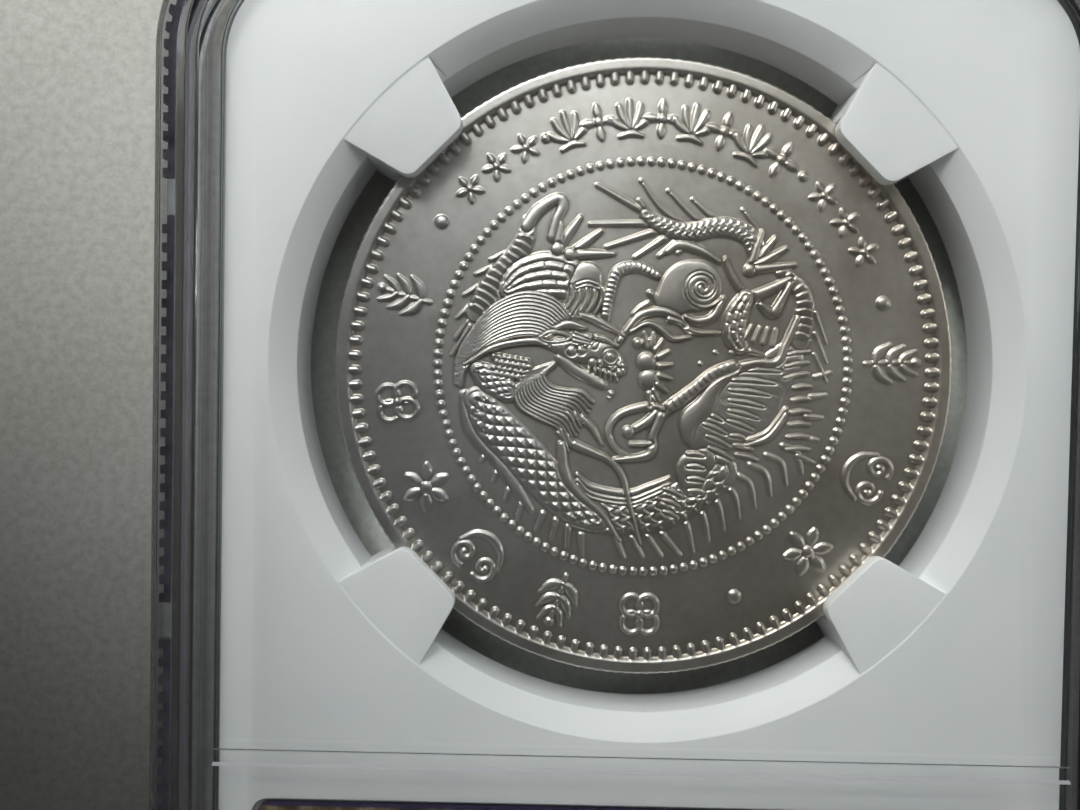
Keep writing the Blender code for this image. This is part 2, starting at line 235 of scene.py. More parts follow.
def slab_loop(inset, height):
    outline = rounded_outline(
        HALF_WIDTH - inset, HALF_LENGTH - inset, SLAB_CORNER_RADIUS - inset, CORNER_STEPS
    )
    return [(x, y, MID_HEIGHT + height) for x, y in outline]


def swept_solid(name, profile):
    """Sweep a profile of (inset, height) round the slab and close its two ends with flat faces.

    Faces out past the window, which make up the thick wall, take the second material.
    """
    work = bmesh.new()
    loops = [[work.verts.new(point) for point in slab_loop(inset, height)] for inset, height in profile]
    for row, faces in enumerate(join_loops(work, loops)):
        in_wall = max(profile[row][0], profile[row + 1][0]) <= CAVITY_INSET
        for face in faces:
            face.material_index = 1 if in_wall else 0
    close_ends(work, loops)
    return mesh_from_bmesh(name, work)


def shell_profile(side, joint):
    """Section of one half, from under its window, round the joint and outer wall, to its top."""
    underside = [
        (CAVITY_INSET + 0.8 * MM, WINDOW_INNER, 0.0),
        (CAVITY_INSET, WINDOW_INNER, CAVITY_CORNER_ROUND),
        (CAVITY_INSET, SEAM_HALF_GAP, CAVITY_MOUTH_ROUND),
    ]
    outside = [
        (0.0, SEAM_HALF_GAP, SEAM_ROUND),
        (0.0, HALF_THICKNESS, OUTER_EDGE_ROUND),
        (RIM_FOOT - RIM_RUN, HALF_THICKNESS, RIM_ROUND),
        (RIM_FOOT, WINDOW_OUTER, RIM_ROUND),
        (RIM_WIDTH + 0.9 * MM, WINDOW_OUTER, 0.0),
    ]
    corners = [(inset, side * height, radius) for inset, height, radius in underside]
    corners += joint
    corners += [(inset, side * height, radius) for inset, height, radius in outside]
    return rounded_profile(corners)


def joint_profile(inner, outer, foot, top):
    """Tongue, or the groove over it: up one side, across, and down to the half's own edge."""
    return [
        (inner, foot, JOINT_ROUND),
        (inner, top, JOINT_ROUND),
        (outer, top, JOINT_ROUND),
        (outer, foot, JOINT_ROUND),
    ]


def divider_cutter(side):
    """Cutter for the groove across the window; its sloping walls take the third material."""
    half_reach = INSERT_HALF_WIDTH
    mouth = DIVIDER_WIDTH / 2 + GROOVE_FLARE
    foot = DIVIDER_WIDTH / 2 - GROOVE_TAPER
    bottom = WINDOW_OUTER - DIVIDER_DEPTH
    top = WINDOW_OUTER + 0.08 * MM
    section = rounded_profile([
        (-mouth, top, 0.0),
        (-foot, bottom, JOINT_ROUND),
        (foot, bottom, JOINT_ROUND),
        (mouth, top, 0.0),
    ])
    work = bmesh.new()
    ends = []
    for x in (-half_reach, half_reach):
        ends.append([
            work.verts.new((x, DIVIDER_Y + across, MID_HEIGHT + side * height))
            for across, height in section
        ])
    [faces] = join_loops(work, ends)
    for index, face in enumerate(faces[:-1]):
        on_wall = min(abs(section[index][0]), abs(section[index + 1][0])) > foot - 0.02 * MM
        face.material_index = 2 if on_wall else 0
    close_ends(work, ends)
    return mesh_from_bmesh("divider", work)


def make_shell(name, node, side, joint, materials):
    shell = swept_solid(name, shell_profile(side, joint))
    divider = divider_cutter(side)
    for piece in (shell, divider):
        for material in materials:
            piece.data.materials.append(material)
    combine(shell, divider, "DIFFERENCE")
    settle(shell, [divider])
    smooth_mesh(shell.data)
    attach(shell, "root")
    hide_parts(node)
    return shell


# ---------------------------------------------------------------- white insert

INSERT_CORNER_RADIUS = 5.9 * MM
RECESS_FACE_RADIUS = 22.7 * MM
RECESS_WAIST_RADIUS = 21.3 * MM
RECESS_WAIST_HALF_HEIGHT = 1.4 * MM
RECESS_STEPS = 256
PRONG_TIP_RADIUS = 18.0 * MM
PRONG_TIP_HALF_WIDTH = 2.3 * MM
PRONG_ROOT_RADIUS = 23.8 * MM
PRONG_ROOT_HALF_WIDTH = 3.95 * MM
PRONG_CORNER_RADIUS = 0.8 * MM
PRONG_STEP_DOWN = 0.06 * MM
POCKET_FLOOR = LABEL_LOW.z - MID_HEIGHT - 0.15 * MM
POCKET_CORNER_RADIUS = 1.0 * MM
OVERCUT = 0.3 * MM
INSERT_EDGE_ROUND = 0.16 * MM


def prism(name, outlines, low, high):
    """Upright solid over one or more separate outlines."""
    work = bmesh.new()
    for outline in outlines:
        loops = [
            [work.verts.new((x, y, MID_HEIGHT + height)) for x, y in outline] for height in (low, high)
        ]
        join_loops(work, loops)
        close_ends(work, loops)
    return mesh_from_bmesh(name, work)


def spool(name, profile, steps):
    """Closed solid turned about the coin's axis from (radius, height) points, top to bottom."""
    work = bmesh.new()
    rings = []
    for radius, height in profile:
        ring = []
        for step in range(steps):
            angle = math.tau * step / steps
            x = COIN_CENTRE.x + radius * math.cos(angle)
            y = COIN_CENTRE.y + radius * math.sin(angle)
            ring.append(work.verts.new((x, y, MID_HEIGHT + height)))
        rings.append(ring)
    join_loops(work, rings)
    close_ends(work, rings)
    return mesh_from_bmesh(name, work)


def prong_outline(angle):
    corners = [
        (PRONG_ROOT_RADIUS, PRONG_ROOT_HALF_WIDTH, 0.0),
        (PRONG_TIP_RADIUS, PRONG_TIP_HALF_WIDTH, PRONG_CORNER_RADIUS),
        (PRONG_TIP_RADIUS, -PRONG_TIP_HALF_WIDTH, PRONG_CORNER_RADIUS),
        (PRONG_ROOT_RADIUS, -PRONG_ROOT_HALF_WIDTH, 0.0),
    ]
    cosine, sine = math.cos(angle), math.sin(angle)
    return [
        (COIN_CENTRE.x + x * cosine - y * sine, COIN_CENTRE.y + x * sine + y * cosine)
        for x, y in rounded_profile(corners)
    ]


def soften(piece, width, segments, angle=math.radians(35)):
    bevel = piece.modifiers.new("soft_edges", "BEVEL")
    bevel.width = width
    bevel.segments = segments
    bevel.limit_method = "ANGLE"
    bevel.angle_limit = angle
    bevel.use_clamp_overlap = True


def recess_cutter():
    """Round opening for the coin, waisted at mid height and wider toward both faces."""
    half = INSERT_HALF_THICKNESS
    slope = (RECESS_FACE_RADIUS - RECESS_WAIST_RADIUS) / (half - RECESS_WAIST_HALF_HEIGHT)
    mouth = RECESS_FACE_RADIUS + OVERCUT * slope
    return spool("recess", [
        (mouth, half + OVERCUT),
        (RECESS_WAIST_RADIUS, RECESS_WAIST_HALF_HEIGHT),
        (RECESS_WAIST_RADIUS, -RECESS_WAIST_HALF_HEIGHT),
        (mouth, -half - OVERCUT),
    ], RECESS_STEPS)


def seat_cutter():
    """Room for the coin between the prongs."""
    radius = COIN_RADIUS + TOUCH_GAP
    half = COIN_HALF_THICKNESS + TOUCH_GAP
    return spool("seat", [(radius, half), (radius, -half)], RECESS_STEPS)


def pocket_cutters():
    """Shallow pockets for the labels, one in each face."""
    outline = rounded_outline(
        LABEL_HALF_WIDTH + TOUCH_GAP, LABEL_HALF_LENGTH + TOUCH_GAP, POCKET_CORNER_RADIUS, 8,
        LABEL_CENTRE.y,
    )
    outside = INSERT_HALF_THICKNESS + OVERCUT
    return [
        prism("front_pocket", [outline], POCKET_FLOOR, outside),
        prism("back_pocket", [outline], -outside, -POCKET_FLOOR),
    ]


def make_insert(material):
    half = INSERT_HALF_THICKNESS
    outline = rounded_outline(
        INSERT_HALF_WIDTH, INSERT_HALF_LENGTH, INSERT_CORNER_RADIUS, CORNER_STEPS
    )
    insert = prism("moulded_insert", [outline], -half, half)
    recess = recess_cutter()
    prong_top = half - PRONG_STEP_DOWN
    outlines = [prong_outline(math.radians(45 + 90 * quarter)) for quarter in range(4)]
    prongs = prism("prongs", outlines, -prong_top, prong_top)
    cutters = [seat_cutter(), *pocket_cutters()]

    combine(insert, recess, "DIFFERENCE")
    combine(insert, prongs, "UNION")
    for cutter in cutters:
        combine(insert, cutter, "DIFFERENCE")
    soften(insert, INSERT_EDGE_ROUND, 3)
    settle(insert, [recess, prongs, *cutters])
    smooth_mesh(insert.data, math.radians(40))
    insert.data.materials.clear()
    insert.data.materials.append(material)
    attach(insert, "root")
    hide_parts("coin_insert")
    return insert


# ---------------------------------------------------------------- height map for the coin's art

def smooth_path(rows, spacing=0.2):
    """Catmull-Rom curve through rows of (x, y, radius), read at about an even spacing."""
    rows = np.asarray(rows, float)
    ends = np.vstack([2 * rows[0] - rows[1], rows, 2 * rows[-1] - rows[-2]])
    pieces = []
    for before, start, end, after in zip(ends, ends[1:], ends[2:], ends[3:]):
        count = max(2, int(np.hypot(*(end - start)[:2]) / spacing) + 1)
        t = (np.arange(count) / count)[:, None]
        pieces.append(0.5 * (
            2 * start + (end - before) * t
            + (2 * before - 5 * start + 4 * end - after) * t ** 2
            + (3 * start - before - 3 * end + after) * t ** 3
        ))
    pieces.append(rows[-1:])
    return np.vstack(pieces)


class Relief:
    """Heights over a square about the coin's centre, in millimetres."""

    def __init__(self, reach, cell):
        self.cell = cell
        count = 2 * int(math.ceil(reach / cell)) + 1
        self.reach = (count - 1) / 2 * cell
        self.axis = np.linspace(-self.reach, self.reach, count)
        self.height = np.zeros((count, count))

    def window(self, low, high):
        """Slices of the map that cover a box, and the coordinates inside it."""
        first = np.clip(np.floor((np.asarray(low) + self.reach) / self.cell), 0, len(self.axis) - 1)
        last = np.clip(np.ceil((np.asarray(high) + self.reach) / self.cell) + 1, 1, len(self.axis))
        columns = slice(int(first[0]), int(last[0]))
        rows = slice(int(first[1]), int(last[1]))
        x, y = np.meshgrid(self.axis[columns], self.axis[rows])
        return (rows, columns), x, y

    def trace(self, path, margin):
        """For each cell near a path: distance over radius, gap outside it, way along, side across."""
        low = (path[:, :2] - path[:, 2:3]).min(0) - margin
        high = (path[:, :2] + path[:, 2:3]).max(0) + margin
        place, x, y = self.window(low, high)
        ratio = np.full(x.shape, 1e3)
        gap = np.full(x.shape, 1e3)
        along = np.zeros(x.shape)
        across = np.zeros(x.shape)
        travelled = 0.0
        for start, end in zip(path, path[1:]):
            step = end[:2] - start[:2]
            length = max(float(np.hypot(*step)), 1e-9)
            share = ((x - start[0]) * step[0] + (y - start[1]) * step[1]) / length ** 2
            share = np.clip(share, 0, 1)
            off_x = x - start[0] - share * step[0]
            off_y = y - start[1] - share * step[1]
            distance = np.hypot(off_x, off_y)
            radius = start[2] + share * (end[2] - start[2])
            nearer = distance - radius < gap
            side = np.sign(step[0] * off_y - step[1] * off_x)
            gap = np.where(nearer, distance - radius, gap)
            ratio = np.where(nearer, distance / np.maximum(radius, 1e-6), ratio)
            along = np.where(nearer, travelled + share * length, along)
            across = np.where(nearer, side * distance / np.maximum(radius, 1e-6), across)
            travelled += length
        return place, ratio, gap, along, across

    def lay(self, place, inside, height, gap, moat):
        """Lay a shape over the map, with a groove round it where it crosses what is there."""
        current = self.height[place]
        if moat > 0:
            current = current * np.clip(gap / moat, 0, 1) ** 0.7
        self.height[place] = np.where(inside, np.maximum(height, 0), current)

    def stroke(self, rows, height, level=0.0, moat=0.08, spacing=0.2):
        """Round-backed stroke through rows of (x, y, radius)."""
        path = smooth_path(rows, spacing)
        place, ratio, gap, _, _ = self.trace(path, moat + self.cell)
        dome = np.sqrt(np.clip(1 - ratio ** 2, 0, 1))
        self.lay(place, ratio < 1, level + height * dome, gap, moat)

    def strokes(self, curves, height, level=0.0, moat=0.08):
        for rows in curves:
            self.stroke(rows, height, level, moat)

    def body(self, rows, height, pattern, level=0.0, moat=0.12, spacing=0.25):
        """Stroke whose back carries a pattern of (along, across) heights."""
        path = smooth_path(rows, spacing)
        place, ratio, gap, along, across = self.trace(path, moat + self.cell)
        dome = np.clip(1 - ratio ** 2, 0, 1) ** 0.42
        shape = level + height * dome + pattern(along, across) * np.clip(3 * (1 - ratio), 0, 1)
        self.lay(place, ratio < 1, shape, gap, moat)

    def disc(self, x, y, radius, height, level=0.0, moat=0.08):
        place, px, py = self.window((x - radius - moat, y - radius - moat),
                                    (x + radius + moat, y + radius + moat))
        distance = np.hypot(px - x, py - y)
        dome = np.sqrt(np.clip(1 - (distance / radius) ** 2, 0, 1))
        self.lay(place, distance < radius, level + height * dome, distance - radius, moat)

    def fan(self, first, last, count, radius, height, level=0.0, taper=0.35):
        """Strands that pass from one guide curve to another, each thinner toward its end."""
        first = np.asarray(first, float)
        last = np.asarray(last, float)
        for index in range(count):
            share = index / max(count - 1, 1)
            guide = first + (last - first) * share
            widths = np.linspace(radius, radius * taper, len(guide))[:, None]
            self.stroke(np.hstack([guide, widths]), height, level, moat=0.03)

    def soften(self, radius):
        """Blur the map with a small bell-shaped window."""
        offsets = np.arange(-3, 4) * self.cell
        weights = np.exp(-0.5 * (offsets / radius) ** 2)
        weights /= weights.sum()
        for axis in (0, 1):
            total = np.zeros_like(self.height)
            for shift, weight in zip(range(-3, 4), weights):
                total += weight * np.roll(self.height, shift, axis)
            self.height = total

    def sample(self, x, y):
        """Heights at any points, read between the map's cells."""
        column = np.clip((x + self.reach) / self.cell, 0, len(self.axis) - 1.001)
        row = np.clip((y + self.reach) / self.cell, 0, len(self.axis) - 1.001)
        left = column.astype(int)
        low = row.astype(int)
        right_share = column - left
        high_share = row - low
        lower = self.height[low, left] * (1 - right_share) + self.height[low, left + 1] * right_share
        upper = (self.height[low + 1, left] * (1 - right_share)
                 + self.height[low + 1, left + 1] * right_share)
        return lower * (1 - high_share) + upper * high_share


def scales(pitch, rows, depth):
    """Overlapping scales in staggered rows."""
    def pattern(along, across):
        lane = (across + 1) / 2 * rows
        number = np.floor(lane)
        off_middle = lane - number - 0.5
        phase = along / pitch + 0.5 * (number % 2) + 0.5 * (1 - 4 * off_middle ** 2)
        return depth * (phase - np.floor(phase)) - 0.5 * depth
    return pattern


def diamonds(pitch, rows, depth):
    """Lozenge scales, each a low pyramid."""
    def pattern(along, across):
        first = along / pitch + rows * across / 2
        second = along / pitch - rows * across / 2
        ridge = np.minimum(np.abs(first - np.round(first)), np.abs(second - np.round(second)))
        return depth * 2 * ridge - 0.25 * depth
    return pattern


def plates(pitch, rows, depth):
    """Long plates side by side, cut across at staggered places."""
    def pattern(along, across):
        lane = (across + 1) / 2 * rows
        number = np.floor(lane)
        off_middle = lane - number - 0.5
        phase = along / pitch + 0.37 * number
        notch = np.clip(6 * np.abs(phase - np.round(phase)), 0, 1)
        return depth * (1 - 3 * off_middle ** 2) * (0.6 + 0.4 * notch) - 0.6 * depth
    return pattern


def bands(pitch, depth):
    """Plates that cross a body from side to side."""
    def pattern(along, across):
        phase = along / pitch + 0.25 * across ** 2
        return depth * (phase - np.floor(phase)) - 0.5 * depth
    return pattern


# ---------------------------------------------------------------- dragon side

def draw_spikes(relief, roots, tips, radius=0.17, height=0.11, level=0.02):
    """Blunt spikes from each root to its tip."""
    for root, tip in zip(roots, tips):
        relief.stroke([(*root, radius), (*tip, radius * 0.6)], height, level, moat=0.05)


def draw_comb(relief, first, last, count, radius=0.15, height=0.11, level=0.02):
    """Spikes whose roots and tips run evenly from a first (root, tip) pair to a last one."""
    shares = np.linspace(0, 1, count)[:, None]
    roots = np.array(first[0]) + (np.array(last[0]) - np.array(first[0])) * shares
    tips = np.array(first[1]) + (np.array(last[1]) - np.array(first[1])) * shares
    draw_spikes(relief, roots, tips, radius, height, level)


def draw_quill(relief, root, bend, tip):
    """Thin curved spine that fades out at its tip."""
    relief.stroke([(*root, 0.19), (*bend, 0.15), (*tip, 0.07)], 0.11, 0.01, moat=0.04)


def draw_slats(relief, first_start, first_end, last_start, last_end, count, radius=0.16):
    """Rows of narrow slats, each humped toward its middle, from a first row to a last one."""
    rows = np.linspace(np.array((first_start, first_end)), np.array((last_start, last_end)), count)
    for start, end in rows:
        middle = 0.5 * (start + end) + (0, 0.06)
        slat = [(*start, radius * 0.7), (*middle, radius), (*end, radius * 0.5)]
        relief.stroke(slat, 0.12, 0.07, moat=0.09)


def draw_claws(relief, wrist, tips, radius=0.3, level=0.06):
    for tip in tips:
        middle = 0.45 * np.array(wrist) + 0.55 * np.array(tip)
        relief.stroke([(*wrist, radius), (*middle, radius * 0.85), (*tip, radius * 0.5)], 0.15, level)
    relief.disc(*wrist, radius * 1.35, 0.14, level + 0.05)


def draw_tail(relief):
    """Tail over the top of the coil, with long quills above and a fan of spikes at its end."""
    for root, bend, tip in (
        ((2.4, 8.8), (0.9, 9.9), (-0.3, 11.5)), ((3.5, 8.9), (2.5, 9.8), (1.4, 10.9)),
        ((4.6, 9.1), (3.8, 9.6), (2.9, 10.4)), ((6.8, 8.6), (6.5, 9.2), (6.0, 9.8)),
    ):
        draw_quill(relief, root, bend, tip)
        relief.disc(*tip, 0.15, 0.12)
    draw_spikes(
        relief,
        [(0.3, 9.4), (0.2, 9.5), (0.1, 8.9), (0.6, 8.4), (1.2, 8.0), (2.1, 7.9), (2.9, 7.9)],
        [(-3.0, 11.2), (-0.4, 10.3), (-3.4, 8.8), (-2.4, 7.4), (-0.6, 6.8), (0.9, 6.9), (2.0, 7.1)],
        0.22, 0.15,
    )
    tail = [(7.1, 7.0, 0.62), (6.3, 8.3, 0.6), (4.6, 8.75, 0.58), (2.6, 8.4, 0.55), (1.0, 8.8, 0.5),
            (0.0, 9.4, 0.34)]
    relief.body(tail, 0.18, scales(0.42, 3, 0.09), 0.03)


def draw_quills(relief):
    """Blunt spikes under the neck and long curved quills under the flank."""
    draw_comb(relief, ((-9.5, -5.1), (-9.9, -6.0)), ((-7.3, -8.3), (-7.6, -9.6)), 4, 0.17)
    draw_comb(relief, ((-6.0, -9.2), (-6.4, -10.2)), ((-3.6, -10.4), (-3.5, -11.8)), 4, 0.19)
    draw_comb(relief, ((-1.6, -10.2), (-0.9, -11.8)), ((1.2, -10.0), (2.6, -11.6)), 4, 0.16)
    for index in range(8):
        share = index / 7
        root = np.array((1.9, -8.9)) + share * np.array((6.9, 4.2))
        tip = np.array((3.4, -11.4)) + share * np.array((6.6, 5.0))
        bend = 0.5 * (root + tip) + (0.3, 0.45)
        draw_quill(relief, root, bend, tip)
    draw_comb(relief, ((9.7, -5.3), (10.7, -5.7)), ((10.7, -0.4), (11.6, -0.1)), 5, 0.16)
    draw_comb(relief, ((10.6, 1.0), (11.4, -0.7)), ((10.6, 3.6), (11.3, 1.7)), 3, 0.1)


def draw_neck(relief):
    """Scaled neck down the left side and belly along the bottom, with three crescents over it."""
    collar = [(-11.0, -1.9, 0.34), (-10.6, -4.0, 0.42), (-9.0, -5.8, 0.42), (-7.7, -7.6, 0.34),
              (-6.7, -9.0, 0.16)]
    relief.stroke(collar, 0.13, 0.0)
    belly = [(-3.6, -9.3, 0.95), (-1.2, -9.3, 1.15), (1.2, -8.9, 1.25), (3.2, -7.9, 1.15),
             (4.8, -6.4, 1.2)]
    relief.body(belly, 0.14, scales(0.72, 4, 0.13), 0.0)
    neck = [(-10.2, -2.2, 0.8), (-9.2, -3.6, 1.2), (-7.6, -5.2, 1.25), (-6.0, -6.9, 1.25),
            (-4.2, -8.5, 1.15), (-2.6, -9.5, 0.75)]
    relief.body(neck, 0.13, diamonds(0.95, 3, 0.14), 0.05)
    for offset, radius in ((0.0, 0.24), (0.36, 0.14), (0.62, 0.1)):
        crescent = [(-3.9, -6.7 - offset, 0.08), (-3.0, -7.5 - offset, radius),
                    (-0.8, -7.85 - offset, radius),
                    (0.6, -7.4 - offset, radius), (1.8, -6.8 - offset, 0.1)]
        relief.stroke(crescent, 0.14, 0.05)


def draw_flank(relief):
    """Flank up the right side, with its slats, its back, and the shank of the limb over it."""
    flank = [(3.9, -4.2, 1.1), (5.2, -3.4, 1.6), (6.4, -2.2, 2.0), (7.4, -1.0, 1.5), (8.9, 0.7, 1.0)]
    relief.body(flank, 0.09, bands(0.9, 0.02), 0.02)
    draw_slats(relief, (5.5, 0.0), (8.5, -0.1), (5.4, -3.2), (6.9, -3.75), 6)
    draw_slats(relief, (3.8, -2.7), (5.0, -3.2), (4.2, -4.9), (5.7, -5.6), 4)
    draw_slats(relief, (5.6, -4.1), (6.5, -4.3), (6.0, -5.3), (7.2, -5.6), 3)
    draw_slats(relief, (9.0, 2.4), (10.4, 2.5), (8.8, -0.5), (10.2, -0.2), 5, 0.13)
    draw_slats(relief, (9.4, -1.1), (10.4, -1.0), (9.0, -4.9), (10.4, -4.9), 6, 0.14)
    back = [(9.7, 1.8, 0.55), (9.9, 3.2, 0.6), (9.7, 4.9, 0.5), (8.4, 6.2, 0.4)]
    relief.body(back, 0.16, bands(0.5, 0.12), 0.03)
    shank = [(2.9, -4.4, 0.3), (3.0, -3.2, 0.6), (3.9, -2.3, 0.62), (4.5, -1.2, 0.42), (5.6, -0.1, 0.34),
             (7.0, 0.4, 0.26), (8.3, 0.5, 0.24), (8.8, 1.5, 0.24), (9.5, 3.2, 0.2)]
    relief.stroke(shank, 0.15, 0.08)
    relief.stroke([(5.5, 1.0, 0.12), (6.3, 1.2, 0.2), (7.4, 0.9, 0.12)], 0.12, 0.08)
    knee = [(3.2, -7.4, 0.6), (3.2, -6.3, 0.95), (3.9, -5.7, 0.75)]
    relief.stroke(knee, 0.1, 0.05)
    draw_slats(relief, (2.9, -5.3), (3.9, -5.4), (3.0, -7.6), (4.0, -7.7), 4, 0.17)
    draw_slats(relief, (1.5, -7.5), (2.6, -7.95), (1.5, -8.9), (2.4, -9.3), 3)
    for offset in (0.0, 0.34):
        rib = [(6.5, -4.35 - offset, 0.1), (7.8, -3.9 - offset, 0.2), (8.5, -3.1 - offset, 0.2),
               (8.9, -2.4 - offset, 0.14)]
        relief.stroke(rib, 0.12, 0.08)


def draw_fore_limb(relief):
    """Upper left limb: spiked outer edge, plated shoulder, fanned elbow, paw toward the tail."""
    draw_spikes(
        relief,
        [(-8.1, 7.1), (-8.7, 6.3), (-9.2, 5.5), (-9.8, 4.6), (-10.2, 3.6), (-10.7, 2.4)],
        [(-9.5, 6.5), (-10.4, 5.6), (-11.1, 4.3), (-11.5, 2.9), (-11.6, 1.6), (-11.8, 0.6)],
        0.2, 0.15,
    )
    limb = [(-10.4, 3.2, 0.6), (-9.6, 4.5, 0.78), (-8.9, 5.6, 0.75), (-8.0, 6.7, 0.65),
            (-7.4, 7.8, 0.58), (-7.2, 8.9, 0.42)]
    relief.body(limb, 0.17, bands(0.48, 0.15), 0.03)
    shoulder = [(-8.4, 4.7, 0.6), (-7.4, 5.3, 1.2), (-6.0, 5.6, 1.45), (-4.9, 5.5, 1.3)]
    relief.body(shoulder, 0.14, plates(0.9, 5, 0.16), 0.05)
    loop = [(-7.3, 8.6, 0.4), (-6.6, 9.6, 0.38), (-5.4, 10.35, 0.32), (-5.1, 9.9, 0.34),
            (-5.5, 9.0, 0.3), (-5.7, 8.0, 0.36)]
    relief.stroke(loop, 0.17, 0.05)
    tassel = [(-4.2, 3.6, 0.7), (-3.7, 4.7, 1.0), (-3.5, 5.6, 0.85)]
    relief.stroke(tassel, 0.12, 0.06)
    for index in range(6):
        across = 0.47 * index
        fold = [(-4.5 + across, 4.9, 0.1), (-4.45 + across, 4.2, 0.15), (-4.95 + across, 3.2, 0.08)]
        relief.stroke(fold, 0.09, 0.14, moat=0.09)
    for height in (5.15, 4.9):
        cord = [(-4.2, height - 0.1, 0.06), (-3.5, height + 0.1, 0.08), (-2.8, height - 0.1, 0.06)]
        relief.stroke(cord, 0.06, 0.17, moat=0.07)
    draw_claws(relief, (-5.4, 7.2), [(-4.0, 9.2), (-5.2, 8.8)], 0.3)
    draw_claws(relief, (-4.6, 6.9), [(-2.7, 8.4), (-1.9, 7.0)], 0.3)


def draw_hind_limbs(relief):
    """Beaded shin to the pearl, paw under the tail, and the long arm across the middle."""
    shin = [(-2.4, 3.0, 0.3), (-2.1, 4.6, 0.33), (-1.6, 5.9, 0.36), (-0.4, 6.2, 0.32), (0.8, 5.7, 0.26)]
    relief.body(shin, 0.15, bands(0.3, 0.08), 0.05)
    draw_claws(relief, (6.5, 6.1), [(8.0, 8.1), (7.2, 8.5), (8.7, 7.5), (9.3, 6.5)], 0.28)
    relief.strokes([
        [(6.4, 4.4, 0.32), (7.5, 4.8, 0.34), (9.0, 5.6, 0.2)],
        [(9.0, 5.3, 0.18), (8.5, 4.3, 0.26), (8.0, 3.5, 0.34), (7.2, 4.0, 0.2)],
        [(5.9, 5.0, 0.24), (5.3, 5.9, 0.2), (5.0, 6.8, 0.13)],
    ], 0.15, 0.07)
    thigh = [(6.3, 4.4, 0.5), (5.8, 3.4, 0.7), (5.6, 2.2, 0.7), (6.0, 1.4, 0.5)]
    relief.body(thigh, 0.17, plates(0.6, 3, 0.14), 0.05)
    draw_comb(relief, ((6.3, 1.9), (6.7, 2.7)), ((8.0, 1.5), (8.2, 2.5)), 4, 0.15)
    arm = [(5.6, 0.2, 0.34), (4.4, -0.3, 0.36), (3.2, -1.3, 0.36), (2.2, -2.1, 0.4), (1.2, -2.8, 0.34)]
    relief.body(arm, 0.17, bands(0.4, 0.06), 0.09)
    relief.strokes([
        [(1.2, -2.6, 0.3), (0.4, -2.4, 0.26), (-1.3, -2.9, 0.2), (-2.0, -3.9, 0.19), (-1.6, -5.0, 0.16),
         (-0.3, -5.7, 0.1)],
        [(0.9, -2.9, 0.3), (0.3, -3.4, 0.28), (-0.6, -3.9, 0.2)],
        [(1.2, -3.0, 0.28), (0.7, -4.2, 0.26), (0.5, -5.4, 0.26), (-1.9, -5.8, 0.13)],
        [(0.6, -4.7, 0.15), (-0.6, -4.75, 0.14)],
    ], 0.15, 0.09)
    relief.disc(-0.8, -4.0, 0.36, 0.14, 0.08)


def draw_pearl(relief):
    """Flaming pearl: a flat drop with a spiral on its face, and curled ribbons of flame."""
    centre = np.array((3.6, 5.0))
    relief.strokes([
        [(1.4, 7.2, 0.22), (2.2, 7.6, 0.3), (3.6, 7.2, 0.26), (4.6, 6.6, 0.14)],
        [(4.9, 4.4, 0.16), (4.3, 3.2, 0.26), (3.3, 2.9, 0.26), (2.6, 3.2, 0.16)],
        [(0.4, 4.6, 0.2), (1.2, 4.1, 0.26), (2.5, 4.3, 0.24), (2.7, 4.5, 0.1)],
        [(0.3, 4.0, 0.14), (-0.2, 3.7, 0.17), (-0.6, 3.3, 0.14)],
    ], 0.14, 0.03)
    relief.stroke([(1.7, 4.2, 1.0), (2.6, 5.0, 1.5), (3.2, 5.1, 1.55)], 0.1, 0.08, moat=0.15)
    turns = np.linspace(0, 1.9 * math.tau, 44)
    spiral = [(*(centre + (0.12 + 0.098 * t) * np.array((math.cos(t), math.sin(t)))), 0.085) for t in turns]
    relief.stroke(spiral, 0.08, 0.15, moat=0.09)


def draw_whiskers(relief):
    """Long whiskers, moustache and loose flames over the open field."""
    relief.strokes([
        [(-1.6, 1.4, 0.2), (-1.0, 2.3, 0.2), (-0.2, 3.2, 0.24), (0.9, 3.5, 0.26), (2.0, 3.2, 0.22),
         (3.0, 2.3, 0.18), (4.7, 2.2, 0.07)],
        [(-0.8, 2.2, 0.1), (0.3, 2.75, 0.14), (1.2, 2.3, 0.18), (1.9, 1.8, 0.16), (3.0, 1.95, 0.07)],
        [(-5.0, -4.1, 0.24), (-4.2, -4.8, 0.28), (-3.0, -5.3, 0.22), (-1.9, -5.8, 0.18),
         (-1.1, -6.8, 0.16), (-0.6, -8.6, 0.14), (0.1, -11.0, 0.07)],
        [(-4.9, -4.9, 0.26), (-4.7, -6.6, 0.3), (-3.8, -7.9, 0.26), (-2.3, -9.2, 0.18),
         (-1.2, -10.8, 0.08)],
        [(1.6, 3.0, 0.2), (2.2, 2.85, 0.14), (2.6, 2.6, 0.07)],
        [(-5.3, -2.9, 0.16), (-4.1, -3.1, 0.26), (-3.1, -3.7, 0.2), (-2.4, -4.8, 0.07)],
    ], 0.13, 0.1)
    beads = ((-0.3, 1.5, 0.3), (0.5, 1.5, 0.34), (0.25, 0.35, 0.58), (0.42, -0.75, 0.62),
             (0.7, -1.7, 0.4))
    for x, y, radius in beads:
        relief.disc(x, y, radius, 0.18, 0.05)
    for index in range(9):
        turn = math.radians(100 - 23 * index)
        root = np.array((0.35 + 0.75 * math.cos(turn), -0.1 + 1.5 * math.sin(turn)))
        tip = root + 0.75 * np.array((math.cos(turn), math.sin(turn)))
        relief.stroke([(*root, 0.2), (*tip, 0.09)], 0.14, 0.03, moat=0.05)
    for x, y in ((4.5, 1.0), (3.6, 0.3), (-2.0, -1.9)):
        relief.disc(x, y, 0.14, 0.12)


